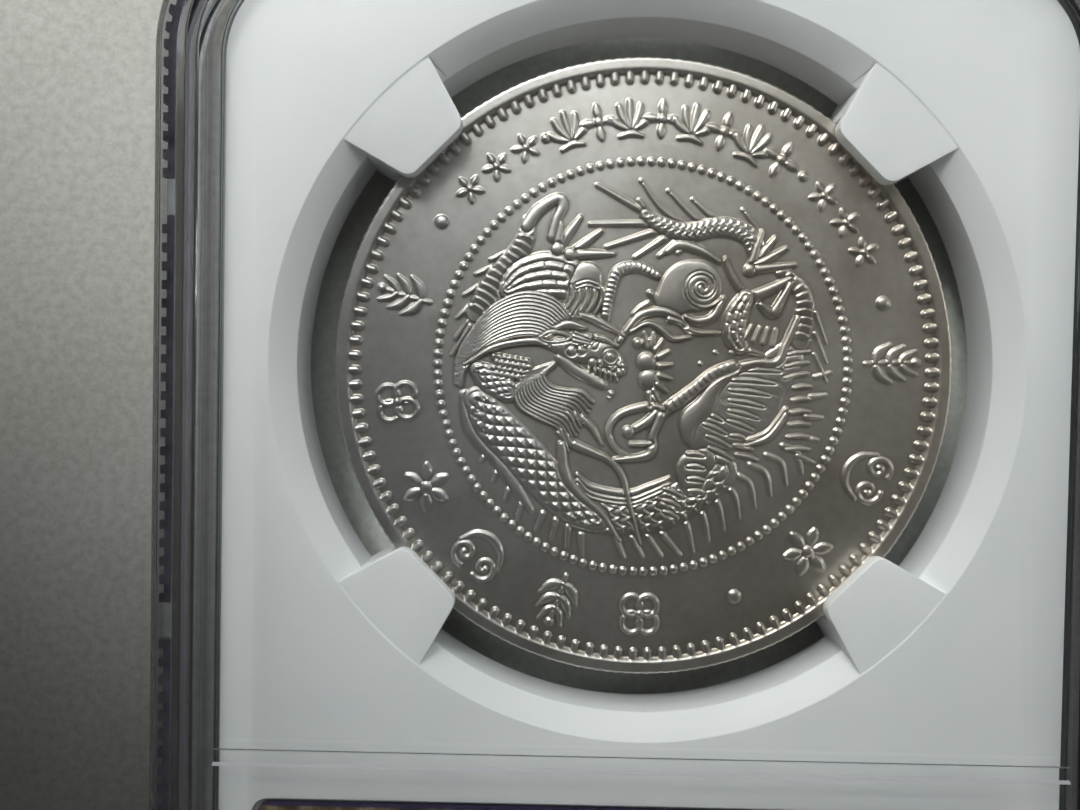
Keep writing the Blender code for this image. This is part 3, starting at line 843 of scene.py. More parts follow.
def draw_mane(relief):
    """Swept mane above the cheek and wavy beard below the jaw."""
    relief.fan(
        [(-4.6, 3.1), (-5.6, 4.1), (-7.4, 4.45), (-9.3, 3.6), (-10.7, 1.9), (-11.5, 0.4), (-11.6, -1.2)],
        [(-6.0, 1.7), (-6.9, 1.95), (-8.0, 1.85), (-9.3, 1.35), (-10.5, 0.4), (-11.0, -0.4),
         (-11.2, -1.4)],
        12, 0.16, 0.12, 0.1, 0.4,
    )
    lock = [(-5.2, 1.0, 0.2), (-6.4, 1.5, 0.22), (-8.0, 1.4, 0.2), (-9.4, 1.0, 0.17), (-11.0, 0.0, 0.08)]
    relief.stroke(lock, 0.12, 0.17, moat=0.1)
    cheek = [(-10.2, -0.3, 0.5), (-9.4, -0.9, 0.85), (-8.3, -1.6, 0.7)]
    relief.body(cheek, 0.13, diamonds(0.62, 3, 0.12), 0.08)
    for row in range(4):
        for column in range(7):
            x = -9.2 + 0.34 * column + 0.17 * (row % 2)
            y = 0.55 - 0.36 * row - 0.05 * column
            relief.disc(x, y, 0.2, 0.1, 0.14, moat=0.05)
    relief.fan(
        [(-7.0, -0.4), (-7.8, -1.6), (-7.5, -2.6), (-6.3, -3.3), (-5.1, -3.9), (-4.5, -5.2)],
        [(-5.5, 0.1), (-6.1, -0.6), (-5.6, -1.3), (-4.6, -1.5), (-3.7, -1.6), (-3.0, -2.2)],
        11, 0.15, 0.12, 0.09, 0.5,
    )


def draw_head(relief):
    """Head in profile, facing right: brow, long horn, ear, round eye and blunt snout."""
    jaw = [(-5.1, 0.5, 0.3), (-4.2, -0.2, 0.34), (-3.2, -0.75, 0.34), (-2.4, -1.15, 0.24)]
    relief.stroke(jaw, 0.14, 0.05)
    skull = [(-5.3, 1.3, 0.45), (-4.3, 1.1, 0.72), (-3.2, 0.9, 0.74), (-2.2, 0.7, 0.66),
             (-1.5, 0.1, 0.4), (-1.3, -0.3, 0.24)]
    relief.stroke(skull, 0.13, 0.1)
    for index in range(6):
        x = -3.3 + 0.33 * index
        y = 0.05 - 0.11 * index
        relief.stroke([(x, y, 0.11), (x + 0.06, y - 0.42, 0.05)], 0.1, 0.12, moat=0.05)
    for x, y, radius in (
        (-4.4, 0.95, 0.32), (-3.8, 1.0, 0.28), (-3.1, 0.25, 0.28), (-2.6, 0.25, 0.22),
        (-1.45, -0.3, 0.22), (-1.2, 0.1, 0.16), (-1.7, -0.05, 0.16), (-1.9, -1.65, 0.16),
    ):
        relief.disc(x, y, radius, 0.12, 0.13)
    relief.disc(-2.0, 0.62, 0.52, 0.07, 0.17, moat=0.12)
    relief.disc(-2.0, 0.62, 0.3, 0.14, 0.18, moat=0.12)
    relief.strokes([
        [(-5.5, 2.35, 0.1), (-4.6, 2.6, 0.24), (-3.6, 2.4, 0.12)],
        [(-4.6, 1.7, 0.14), (-4.1, 1.95, 0.2), (-3.2, 1.85, 0.12)],
        [(-3.9, 3.2, 0.12), (-3.0, 2.9, 0.22), (-1.8, 2.3, 0.14), (-1.1, 1.9, 0.08)],
        [(-2.9, 1.85, 0.12), (-2.3, 1.7, 0.17), (-1.6, 1.3, 0.12)],
        [(-3.6, 1.25, 0.13), (-3.35, 1.6, 0.07)],
        [(-3.0, 1.2, 0.13), (-2.75, 1.55, 0.07)],
    ], 0.12, 0.15)
    ear = [(-6.4, 1.75, 0.09), (-5.8, 2.1, 0.1), (-5.0, 2.1, 0.1), (-4.5, 1.75, 0.1), (-5.2, 1.5, 0.1),
           (-6.0, 1.5, 0.09), (-6.4, 1.75, 0.09)]
    relief.stroke(ear, 0.09, 0.18, moat=0.05)
    inner_ear = ([(-4.2, 2.1), (-3.7, 1.9), (-3.2, 1.75)], [(-4.3, 1.6), (-3.8, 1.5), (-3.3, 1.4)])
    relief.fan(*inner_ear, 3, 0.12, 0.08, 0.2, 0.6)


def draw_dragon(relief):
    """A coiled dragon round a flaming pearl; what lies on top is drawn last."""
    draw_quills(relief)
    draw_tail(relief)
    draw_neck(relief)
    draw_flank(relief)
    draw_fore_limb(relief)
    draw_hind_limbs(relief)
    draw_pearl(relief)
    draw_whiskers(relief)
    draw_mane(relief)
    draw_head(relief)


# ---------------------------------------------------------------- ring of ornaments

LEGEND_RADIUS = 15.35

# Along a palmette leaf, whose tip leans out: sideways reach, rise and half width.
LEAF_STATIONS = ((0.2, 0.2, 0.1), (1.1, 1.3, 0.24), (1.45, 2.1, 0.2))


def placed(rows, angle, radius=LEGEND_RADIUS, scale=1.0):
    """Turn rows of (along, outward, width) about a place on the ring into map rows."""
    outward = np.array((math.cos(angle), math.sin(angle)))
    along = np.array((-outward[1], outward[0]))
    return [
        (*(outward * (radius + v * scale) + along * u * scale), width * scale)
        for u, v, width in rows
    ]


def draw_sprig(relief, angle, scale=1.0):
    """Upright stem with three pairs of leaves and a bud."""
    relief.stroke(placed([(0, -1.5, 0.13), (0.06, 0.0, 0.13), (0, 1.1, 0.12)], angle, scale=scale), 0.12)
    for lift, reach in ((-0.5, 1.15), (0.3, 1.0), (1.0, 0.7)):
        for side in (-1, 1):
            leaf = [
                (0, lift - 0.5, 0.1),
                (side * 0.55 * reach, lift - 0.2, 0.26 * reach),
                (side * reach, lift + 0.45, 0.07),
            ]
            relief.stroke(placed(leaf, angle, scale=scale), 0.13, moat=0.05)
    bud = placed([(0, 1.45, 0.26)], angle, scale=scale)[0]
    relief.disc(*bud, 0.14, 0.02)


def draw_floret(relief, angle, petals=6, scale=1.0, radius=LEGEND_RADIUS):
    for index in range(petals):
        turn = math.tau * index / petals
        u, v = math.sin(turn), math.cos(turn)
        rows = [(0.35 * u, 0.35 * v, 0.16), (0.9 * u, 0.9 * v, 0.34), (1.35 * u, 1.35 * v, 0.14)]
        relief.stroke(placed(rows, angle, radius, scale), 0.13, moat=0.04)
    centre = placed([(0, 0, 0.36)], angle, radius, scale)[0]
    relief.disc(*centre, 0.15, 0.05)


def draw_scroll(relief, angle, scale=1.0):
    """Two cloud curls that turn away from each other over a bowl."""
    for side in (-1, 1):
        turns = np.linspace(0, 1.3 * math.tau, 26)
        rows = [
            (side * (0.72 + (0.1 + 0.085 * t) * math.cos(t)), 0.5 + (0.1 + 0.085 * t) * math.sin(t), 0.13)
            for t in turns
        ]
        relief.stroke(placed(rows, angle, scale=scale), 0.12, moat=0.05)
    bowl = [(-1.45, 0.1, 0.09), (-0.95, -0.8, 0.16), (0, -1.15, 0.22), (0.95, -0.8, 0.16),
            (1.45, 0.1, 0.09)]
    relief.stroke(placed(bowl, angle, scale=scale), 0.13, moat=0.04)


def draw_knot(relief, angle, scale=1.0):
    """Four linked rings round a bead."""
    turns = np.linspace(0, math.tau, 22)
    for quarter in range(4):
        middle = math.tau * (quarter + 0.5) / 4
        centre_u, centre_v = 0.68 * math.cos(middle), 0.72 * math.sin(middle)
        rows = [
            (centre_u + 0.56 * math.cos(t), centre_v + 0.6 * math.sin(t), 0.13)
            for t in turns
        ]
        relief.stroke(placed(rows, angle, scale=scale), 0.13, moat=0.06)
    centre = placed([(0, 0, 0.24)], angle, scale=scale)[0]
    relief.disc(*centre, 0.15, 0.05)


def draw_palmette(relief, angle, scale=1.0):
    """Fan of five rounded leaves over a footed base."""
    for index in range(5):
        turn = math.radians(-64 + 32 * index)
        u, v = math.sin(turn), math.cos(turn)
        leaf = [(share * u, -0.9 + rise * v, width) for share, rise, width in LEAF_STATIONS]
        relief.stroke(placed(leaf, angle, scale=scale), 0.14, moat=0.05)
    base = [(-0.8, -1.25, 0.14), (0, -1.05, 0.22), (0.8, -1.25, 0.14)]
    relief.stroke(placed(base, angle, scale=scale), 0.13)


def draw_dot(relief, angle, radius=0.42):
    centre = placed([(0, 0, radius)], angle)[0]
    relief.disc(*centre, 0.18, 0.0)


def draw_legend(relief):
    """Ornaments round the ring, in degrees anticlockwise from the art's right."""
    big = ((2, draw_sprig), (-25, draw_scroll), (-47, draw_floret), (-89.5, draw_knot),
           (-109, draw_sprig), (-130, draw_scroll), (-150, draw_floret), (-171, draw_knot),
           (-196, draw_sprig))
    for angle, draw in big:
        draw(relief, math.radians(angle), scale=1.05)
    for angle in (-67, -215, -344):
        draw_dot(relief, math.radians(angle))
    for angle in (-246, -309):
        draw_dot(relief, math.radians(angle), 0.28)
    for angle in (-225, -233, -241, -315.5, -323.5, -331.5):
        draw_floret(relief, math.radians(angle), petals=5, scale=0.62)
    for index in range(8):
        angle = math.radians(-251.5 - 7.3 * index)
        if index % 2 == 0:
            draw_palmette(relief, angle, scale=0.88)
        else:
            draw_floret(relief, angle, petals=4, scale=0.8)


# ---------------------------------------------------------------- wreath side

def draw_leaf(relief, root, direction, length, width):
    direction = np.array(direction) / np.hypot(*direction)
    side = np.array((-direction[1], direction[0]))
    middle = np.array(root) + direction * length * 0.5 + side * length * 0.08
    tip = np.array(root) + direction * length
    relief.stroke([(*root, width * 0.4), (*middle, width), (*tip, width * 0.2)], 0.13, 0.02, moat=0.06)
    relief.stroke([(*root, 0.05), (*middle, 0.05), (*tip, 0.03)], 0.03, 0.15, moat=0.0)


def draw_wreath(relief):
    """Two leafy branches tied at the foot; the many-petalled rosette above and the star between are drawn
    by draw_reverse.
    """
    for side in (-1, 1):
        stem = []
        for step in range(13):
            angle = math.radians(-84 + 12.4 * step)
            stem.append((side * 13.2 * math.cos(angle), 13.2 * math.sin(angle), 0.28 - 0.012 * step))
        relief.stroke(stem, 0.12, 0.02)
        for step in range(22):
            angle = math.radians(-80 + 6.4 * step)
            root = np.array((13.2 * math.cos(angle), 13.2 * math.sin(angle)))
            tangent = np.array((-math.sin(angle), math.cos(angle)))
            outward = np.array((math.cos(angle), math.sin(angle)))
            lean = 0.9 if step % 2 else -0.9
            direction = tangent + lean * outward
            draw_leaf(relief, (side * root[0], root[1]), (side * direction[0], direction[1]), 2.7, 0.52)
    for side in (-1, 1):
        relief.stroke([(0, -13.0, 0.4), (side * 1.6, -12.2, 0.5), (side * 2.6, -13.2, 0.3)], 0.14, 0.05)
        relief.stroke([(0, -13.2, 0.35), (side * 1.2, -14.8, 0.3), (side * 1.9, -16.0, 0.15)], 0.12, 0.04)
    relief.disc(0, -13.1, 0.8, 0.18, 0.08)


def draw_rosette(relief, x, y, petals, radius):
    for index in range(petals):
        angle = math.tau * index / petals
        direction = np.array((math.cos(angle), math.sin(angle)))
        rows = [(x + direction[0] * share * radius, y + direction[1] * share * radius, width * radius)
                for share, width in ((0.3, 0.05), (0.72, 0.135), (0.95, 0.1))]
        relief.stroke(rows, 0.15, 0.02, moat=0.04)
    relief.disc(x, y, 0.26 * radius, 0.17, 0.08)


def draw_reverse(relief):
    draw_wreath(relief)
    draw_rosette(relief, 0, 13.6, 12, 3.0)
    draw_rosette(relief, 0, 0, 10, 4.6)
    for index in range(10):
        angle = math.tau * (index + 0.5) / 10
        centre = 6.3 * np.array((math.cos(angle), math.sin(angle)))
        relief.disc(*centre, 0.5, 0.16)
        draw_leaf(relief, centre * 1.12, centre, 2.2, 0.5)


# ---------------------------------------------------------------- struck coin

FIELD_DEPTH = 0.27
RIM_INNER = 18.32
RIM_SLOPE = 0.3
BEAD_RING = 12.7
BEAD_COUNT = 126
BEAD_RADIUS = 0.25
BEAD_RISE = 0.15
DENTICLE_COUNT = 123
DENTICLE_INNER = 17.72
DENTICLE_RADIUS = 0.25
DENTICLE_RISE = 0.2
REED_COUNT = 192
REED_DEPTH = 0.07
EDGE_CHAMFER = 0.1
RECESS_REACH = 0.22
RECESS_FULL_DEPTH = 0.09

COIN_FULL_RADIUS = COIN_RADIUS / MM
COIN_TOP = COIN_HALF_THICKNESS / MM
RIM_OUTER = COIN_FULL_RADIUS - EDGE_CHAMFER - REED_DEPTH
ART_REACH = 17.6
GRID_RADIUS = 12.35
FRONT_CELLS = 480
BACK_CELLS = 240
FRONT_RADII = np.concatenate([[GRID_RADIUS], np.linspace(12.4, 18.2, 92), np.linspace(18.27, RIM_OUTER, 7)])
BACK_RADII = np.concatenate([[GRID_RADIUS], np.linspace(12.5, 18.2, 50), np.linspace(18.3, RIM_OUTER, 5)])

# The edge from the front down: how far inside the full radius, and how high.
EDGE_STEPS = ((0.03, COIN_TOP - 0.05), (0.0, COIN_TOP - 0.12), (0.0, 0.4), (0.0, -0.4),
              (0.0, 0.14 - COIN_TOP))
LAST_EDGE_STEP = (0.03, 0.05 - COIN_TOP)


def bead_height(x, y):
    """Ring of round beads between the art and the ornaments."""
    radius = np.hypot(x, y)
    turn = np.arctan2(y, x) * BEAD_COUNT / math.tau
    along = (turn - np.round(turn)) * math.tau * BEAD_RING / BEAD_COUNT
    distance = np.hypot(along, radius - BEAD_RING) / BEAD_RADIUS
    return BEAD_RISE * np.sqrt(np.clip(1 - distance ** 2, 0, 1))


def denticle_height(x, y):
    """Radial teeth with round inner ends, running out into the rim."""
    radius = np.hypot(x, y)
    turn = np.arctan2(y, x) * DENTICLE_COUNT / math.tau
    along = (turn - np.round(turn)) * math.tau * radius / DENTICLE_COUNT
    inward = np.clip(DENTICLE_INNER - radius, 0, None)
    distance = np.hypot(along, inward) / DENTICLE_RADIUS
    tooth = DENTICLE_RISE * np.sqrt(np.clip(1 - distance ** 2, 0, 1))
    return np.where(radius < RIM_INNER + 0.1, tooth, 0)


def rim_height(x, y):
    """Zero over the field, rising to the flat rim."""
    share = np.clip((np.hypot(x, y) - (RIM_INNER - RIM_SLOPE)) / RIM_SLOPE, 0, 1)
    return FIELD_DEPTH * share * share * (3 - 2 * share)


def concentric_disc(count, radius):
    """Square grid bent into a disc: its points, its faces, and its edge in anticlockwise order."""
    line = np.linspace(-1, 1, count + 1)
    u, v = np.meshgrid(line, line)
    wide = np.abs(u) >= np.abs(v)
    safe_u = np.where(u == 0, 1, u)
    safe_v = np.where(v == 0, 1, v)
    length = np.where(wide, u, v)
    angle = np.where(wide, math.pi / 4 * v / safe_u, math.pi / 2 - math.pi / 4 * u / safe_v)
    x = radius * length * np.cos(angle)
    y = radius * length * np.sin(angle)
    numbers = np.arange((count + 1) ** 2).reshape(count + 1, count + 1)
    faces = np.stack([numbers[:-1, :-1], numbers[:-1, 1:], numbers[1:, 1:], numbers[1:, :-1]], -1)
    edge = np.concatenate([
        numbers[:-1, -1], numbers[-1, :0:-1], numbers[:0:-1, 0], numbers[0, :-1]
    ])
    return np.stack([x.ravel(), y.ravel()], 1), faces.reshape(-1, 4), edge


def ring_angles(count):
    """Angles of the grid disc's edge points."""
    return -math.pi / 4 + math.tau * np.arange(4 * count) / (4 * count)


def strike_face(count, ring_radii, height_at):
    """One face of the coin, out to its rim: points in mm, faces, and its outer ring's numbers."""
    flat, faces, edge = concentric_disc(count, ring_radii[0])
    angles = ring_angles(count)
    points = [np.column_stack([flat, height_at(flat[:, 0], flat[:, 1])])]
    groups = [faces]
    previous = edge
    total = len(flat)
    for radius in ring_radii[1:]:
        x, y = radius * np.cos(angles), radius * np.sin(angles)
        points.append(np.column_stack([x, y, height_at(x, y)]))
        ring = total + np.arange(len(angles))
        groups.append(band_faces(previous, ring))
        previous = ring
        total += len(angles)
    return np.vstack(points), np.vstack(groups), previous


def band_faces(inner, outer):
    return np.stack([inner, outer, np.roll(outer, -1), np.roll(inner, -1)], 1)


def edge_ring(angles, drop, height):
    """Ring of points on the reeded edge, drop mm inside the coin's full radius at its crests."""
    reed = 0.5 + 0.5 * np.cos(angles * REED_COUNT)
    radius = COIN_FULL_RADIUS - drop - REED_DEPTH * (1 - reed ** 0.6)
    return np.column_stack([radius * np.cos(angles), radius * np.sin(angles), np.full(len(angles), height)])


def obverse_heights():
    """Function that gives the dragon side's height above its field at any place."""
    art = Relief(ART_REACH, 0.03)
    draw_legend(art)
    draw_dragon(art)
    art.soften(0.025)

    def height_at(x, y):
        raised = np.maximum(art.sample(x, y), bead_height(x, y))
        raised = np.maximum(raised, denticle_height(x, y))
        return np.maximum(raised, rim_height(x, y))
    return height_at


def reverse_heights():
    """Function that gives the wreath side's height above its field at any place."""
    art = Relief(ART_REACH, 0.05)
    draw_reverse(art)
    art.soften(0.04)

    def height_at(x, y):
        raised = np.maximum(art.sample(x, y), denticle_height(x, y))
        return np.maximum(raised, rim_height(x, y))
    return height_at


def coin_edge(front_ring, back_ring, total):
    """Reeded edge between the faces' outer rings; the back's has half as many points."""
    angles = ring_angles(FRONT_CELLS)
    points = []
    quads = []
    previous = front_ring
    for drop, height in EDGE_STEPS:
        points.append(edge_ring(angles, drop, height))
        ring = total + np.arange(len(angles))
        quads.append(band_faces(previous, ring))
        previous = ring
        total += len(angles)
    coarse_angles = ring_angles(BACK_CELLS)
    points.append(edge_ring(coarse_angles, *LAST_EDGE_STEP))
    ring = total + np.arange(len(coarse_angles))
    joints = np.stack([
        ring, np.roll(ring, -1), np.roll(previous[::2], -1), previous[1::2], previous[::2]
    ], 1)
    quads.append(band_faces(ring, back_ring))
    return np.vstack(points), np.vstack(quads), joints


def strike_coin(material):
    """Closed coin: dragon side up, wreath side down, reeded edge between."""
    obverse = obverse_heights()
    front, front_faces, front_ring = strike_face(FRONT_CELLS, FRONT_RADII, obverse)
    back, back_faces, back_ring = strike_face(BACK_CELLS, BACK_RADII, reverse_heights())
    struck = front.copy()
    front[:, 2] += COIN_TOP - FIELD_DEPTH
    back[:, 2] = -(back[:, 2] + COIN_TOP - FIELD_DEPTH)
    back_faces = back_faces[:, ::-1] + len(front)
    edge, edge_faces, joints = coin_edge(front_ring, back_ring + len(front), len(front) + len(back))

    points = half_turned(np.vstack([front, back, edge]))
    quads = np.vstack([front_faces, back_faces, edge_faces])
    mesh = mesh_from_arrays("struck_coin", points, [quads, joints])
    work = bmesh.new()
    work.from_mesh(mesh)
    bmesh.ops.recalc_face_normals(work, faces=work.faces)
    work.to_mesh(mesh)
    work.free()
    mesh.shade_smooth()
    mark_recess_toning_and_shade(mesh, struck, obverse)
    mesh.materials.append(material)
    coin = add_object("struck_coin", mesh)
    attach(coin, "root")
    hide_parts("coin")
    return coin


def mark_recess_toning_and_shade(mesh, front, obverse):
    """Store how far each front point lies below the relief close round it, for the toning and painted shade
    in the hollows.
    """
    around = np.zeros(len(front))
    directions = 8
    for index in range(directions):
        angle = math.tau * index / directions
        x = front[:, 0] + RECESS_REACH * math.cos(angle)
        y = front[:, 1] + RECESS_REACH * math.sin(angle)
        around += obverse(x, y) / directions
    depth = np.zeros(len(mesh.vertices))
    depth[:len(front)] = np.clip((around - front[:, 2]) / RECESS_FULL_DEPTH, 0, 1)
    recess = mesh.attributes.new("recess", "FLOAT", "POINT")
    recess.data.foreach_set("value", depth.astype(np.float32))


def half_turned(points):
    """Coin points in mm to frame points in metres, turned half a turn about the coin's axis."""
    placed_points = points * MM * np.array((-1.0, -1.0, 1.0))
    return placed_points + np.array(COIN_CENTRE)


# ---------------------------------------------------------------- materials

class Nodes:
    """A new material and short ways to add nodes to it."""

    def __init__(self, name):
        self.material = bpy.data.materials.new(name)
        self.material.use_nodes = True
        self.tree = self.material.node_tree
        self.shader = self.tree.nodes["Principled BSDF"]
        self.output = self.tree.nodes["Material Output"]

    def add(self, kind, inputs=None, **settings):
        node = self.tree.nodes.new(kind)
        for key, value in settings.items():
            setattr(node, key, value)
        for key, value in (inputs or {}).items():
            if isinstance(value, bpy.types.NodeSocket):
                self.tree.links.new(value, node.inputs[key])
            else:
                node.inputs[key].default_value = value
        return node

    def link(self, source, target):
        self.tree.links.new(source, target)

    def set(self, **values):
        for key, value in values.items():
            self.shader.inputs[key.replace("_", " ")].default_value = value

    def position(self):
        """Object coordinates, in metres; every piece sits at the frame's origin."""
        return self.add("ShaderNodeTexCoord").outputs["Object"]

    def noise(self, scale, detail=4.0, roughness=0.55, vector=None):
        node = self.add("ShaderNodeTexNoise", {
            "Scale": scale, "Detail": detail, "Roughness": roughness,
            "Vector": vector or self.position(),
        })
        return node.outputs["Fac"]

    def ramp(self, fac, stops):
        node = self.add("ShaderNodeValToRGB", {"Fac": fac})
        elements = node.color_ramp.elements
        while len(elements) < len(stops):
            elements.new(0.5)
        for element, (place, color) in zip(elements, stops):
            element.position = place
            element.color = (*color, 1.0)
        return node.outputs["Color"]

    def spread(self, fac, low, high, from_low=0.0, from_high=1.0):
        node = self.add("ShaderNodeMapRange", {
            "Value": fac, "From Min": from_low, "From Max": from_high, "To Min": low, "To Max": high,
        })
        return node.outputs["Result"]

    def math(self, operation, first, second=0.0):
        node = self.add("ShaderNodeMath", {0: first, 1: second}, operation=operation)
        return node.outputs[0]

    def vector_math(self, operation, first, second=(0.0, 0.0, 0.0)):
        return self.add("ShaderNodeVectorMath", {0: first, 1: second}, operation=operation)

    def mix(self, fac, first, second, blend="MIX"):
        node = self.add("ShaderNodeMix", {"Factor": fac}, data_type="RGBA", blend_type=blend)
        for index, value in ((6, first), (7, second)):
            if isinstance(value, bpy.types.NodeSocket):
                self.link(value, node.inputs[index])
            else:
                node.inputs[index].default_value = (*value, 1.0)
        return node.outputs[2]

    def bump(self, height, strength, distance):
        node = self.add("ShaderNodeBump", {"Height": height, "Strength": strength, "Distance": distance})
        self.link(node.outputs["Normal"], self.shader.inputs["Normal"])


def pass_lamps(nodes, lamp_tint):
    """Let lamps through to what is inside, whatever the surface looks like from outside."""
    clear = nodes.add("ShaderNodeBsdfTransparent", {"Color": (*lamp_tint, 1.0)})
    lamp_ray = nodes.add("ShaderNodeLightPath").outputs["Is Shadow Ray"]
    blend = nodes.add("ShaderNodeMixShader", {"Fac": lamp_ray})
    nodes.link(nodes.shader.outputs[0], blend.inputs[1])
    nodes.link(clear.outputs[0], blend.inputs[2])
    nodes.link(blend.outputs[0], nodes.output.inputs["Surface"])


def clear_plastic(name, lamp_tint, scuffs):
    """Clear plastic with faint scuffs."""
    nodes = Nodes(name)
    nodes.set(Base_Color=(0.97, 0.98, 0.975, 1.0), Roughness=0.03, IOR=1.49, Transmission_Weight=1.0)
    haze = nodes.noise(900.0, 6.0, 0.65)
    nodes.link(nodes.spread(haze, 0.015, scuffs, 0.35, 0.75), nodes.shader.inputs["Roughness"])
    nodes.bump(nodes.noise(260.0, 2.0), 0.03, 0.05 * MM)
    pass_lamps(nodes, lamp_tint)
    return nodes


def distance_from_edge(nodes):
    """How far a point lies in from the slab's rounded outline, in metres."""
    corner = (HALF_WIDTH - SLAB_CORNER_RADIUS, HALF_LENGTH - SLAB_CORNER_RADIUS, 1.0)
    quarter = nodes.vector_math("ABSOLUTE", nodes.position()).outputs[0]
    beyond = nodes.vector_math("SUBTRACT", quarter, corner).outputs[0]
    level = nodes.vector_math("MAXIMUM", beyond).outputs[0]
    reach = nodes.vector_math("LENGTH", level).outputs["Value"]
    return nodes.math("SUBTRACT", SLAB_CORNER_RADIUS, reach)


def clear_wall():
    """Thick wall that passes less light; its tint darkens the view through it as painted shade, in fine
    lines along the edge, with a painted blue sky reflection by the bead and painted violet shade inside.
    """
    nodes = clear_plastic("clear_wall", (0.58, 0.58, 0.58), 0.12)
    inset = distance_from_edge(nodes)
    # Streaked olive and blue-grey tint that darkens what is seen through the wall: painted shade.
    across_edge = {"W": inset, "Scale": 4500.0, "Detail": 2.0}
    streak_shade = nodes.add("ShaderNodeTexNoise", across_edge, noise_dimensions="1D")
    tint = nodes.ramp(streak_shade.outputs["Fac"], [
        (0.34, (0.60, 0.57, 0.54)), (0.46, (0.74, 0.76, 0.80)),
        (0.54, (0.70, 0.66, 0.62)), (0.66, (0.90, 0.93, 0.97)),
    ])
    # Paler blue band beside the bead: a painted reflection of the sky on the raised rim.
    sky_reflection_band = band_mask(nodes, inset, JOINT_INNER, JOINT_INNER + 0.6 * MM, 0.05 * MM)
    tint = nodes.mix(sky_reflection_band, tint, (0.88, 0.94, 1.0))
    # Violet tint toward the cavity: painted shade for the insert's edge in the wall's shadow.
    inner = nodes.spread(inset, 0.0, 0.8, CAVITY_INSET - 0.6 * MM, CAVITY_INSET)
    nodes.link(nodes.mix(inner, tint, (0.66, 0.65, 0.86)), nodes.shader.inputs["Base Color"])
    return nodes.material


def shell_materials():
    """Polished window, thick wall, and the frosted slopes of the divider groove."""
    return [
        clear_plastic("clear_window", (0.98, 0.985, 0.98), 0.06).material,
        clear_wall(),
        frosted_wall(),
    ]


def frosted_wall():
    """Frosted slope of the divider groove, which shades like paper where the window is clear."""
    nodes = Nodes("frosted_wall")
    frost = nodes.noise(1400.0, 3.0)
    tint = nodes.ramp(frost, [(0.3, (0.86, 0.88, 0.93)), (0.7, (0.95, 0.96, 0.99))])
    nodes.link(tint, nodes.shader.inputs["Base Color"])
    nodes.link(nodes.spread(frost, 0.35, 0.5), nodes.shader.inputs["Roughness"])
    nodes.set(IOR=1.49, Transmission_Weight=0.15)
    pass_lamps(nodes, (0.62, 0.63, 0.64))
    return nodes.material


def white_moulding():
    """Soft white moulded plastic with a fine grain and the least shift in tone."""
    nodes = Nodes("white_moulding")
    tone = nodes.noise(60.0, 3.0)
    color = nodes.ramp(tone, [(0.3, (0.74, 0.765, 0.775)), (0.7, (0.80, 0.82, 0.825))])
    nodes.link(color, nodes.shader.inputs["Base Color"])
    nodes.set(Roughness=0.42, IOR=1.5, Subsurface_Weight=0.25, Subsurface_Scale=1.2 * MM)
    nodes.shader.inputs["Subsurface Radius"].default_value = (1.0, 0.95, 0.9)
    grain = nodes.noise(5200.0, 2.0)
    nodes.link(nodes.spread(grain, 0.36, 0.5), nodes.shader.inputs["Roughness"])
    nodes.bump(grain, 0.12, 0.01 * MM)
    return nodes.material


def coin_silver():
    """Struck silver: satin field, warm toward -X, darker toward +X, with toning and painted shade in the
    recesses, and hairlines.
    """
    nodes = Nodes("coin_silver")
    patches = nodes.noise(110.0, 5.0, 0.6)
    base = nodes.ramp(patches, [
        (0.30, (0.60, 0.57, 0.525)), (0.5, (0.69, 0.68, 0.655)), (0.72, (0.735, 0.735, 0.73)),
    ])
    across = nodes.add("ShaderNodeSeparateXYZ", {"Vector": nodes.position()}).outputs["X"]
    warmth = nodes.spread(across, 0.9, 0.0, -0.02, 0.012)
    toned = nodes.mix(warmth, base, nodes.mix(1.0, base, (1.02, 0.93, 0.83), "MULTIPLY"))
    # Grey darkening of the colour toward +X.
    darker_toward_plus_x = nodes.spread(across, 0.0, 1.0, 0.004, 0.019)
    toned = nodes.mix(darker_toward_plus_x, toned, nodes.mix(1.0, toned, (0.70, 0.70, 0.71), "MULTIPLY"))
    # Brown darkening in the hollows: partly toning, partly painted shade standing in for the relief's own
    # shade.
    recess = nodes.add("ShaderNodeAttribute", attribute_name="recess").outputs["Fac"]
    toned = nodes.mix(recess, toned, (0.40, 0.36, 0.31))
    specks = nodes.ramp(nodes.noise(1500.0, 3.0, 0.6), [(0.3, (0.90, 0.89, 0.87)),
                                                        (0.6, (1.0, 1.0, 1.0))])
    nodes.link(nodes.mix(1.0, toned, specks, "MULTIPLY"), nodes.shader.inputs["Base Color"])
    nodes.set(Metallic=1.0, Roughness=0.34)
    nodes.link(nodes.spread(patches, 0.31, 0.39, 0.3, 0.7), nodes.shader.inputs["Roughness"])
    stretched = nodes.add("ShaderNodeMapping", {
        "Vector": nodes.position(), "Rotation": (0.0, 0.0, 0.7), "Scale": (1.0, 0.03, 1.0),
    }).outputs["Vector"]
    lines = nodes.spread(nodes.noise(3000.0, 2.0, 0.5, stretched), 0.0, 1.0, 0.62, 0.70)
    grain = nodes.noise(2400.0, 3.0, 0.7)
    nodes.bump(nodes.math("SUBTRACT", grain, lines), 0.13, 0.006 * MM)
    return nodes.material


def melted_bead():
    """Bead of melted plastic, coloured near black all over as painted shade for how it reads dark where it
    isn't wetted to the shell.
    """
    nodes = Nodes("melted_bead")
    tone = nodes.noise(700.0, 3.0)
    # Near-black tone: painted shade for the dark the bead shows through the shell.
    color = nodes.ramp(tone, [(0.3, (0.05, 0.048, 0.065)), (0.7, (0.15, 0.145, 0.185))])
    nodes.link(color, nodes.shader.inputs["Base Color"])
    nodes.set(Roughness=0.3, IOR=1.49)
    nodes.bump(nodes.noise(2500.0), 0.2, 0.02 * MM)
    return nodes.material


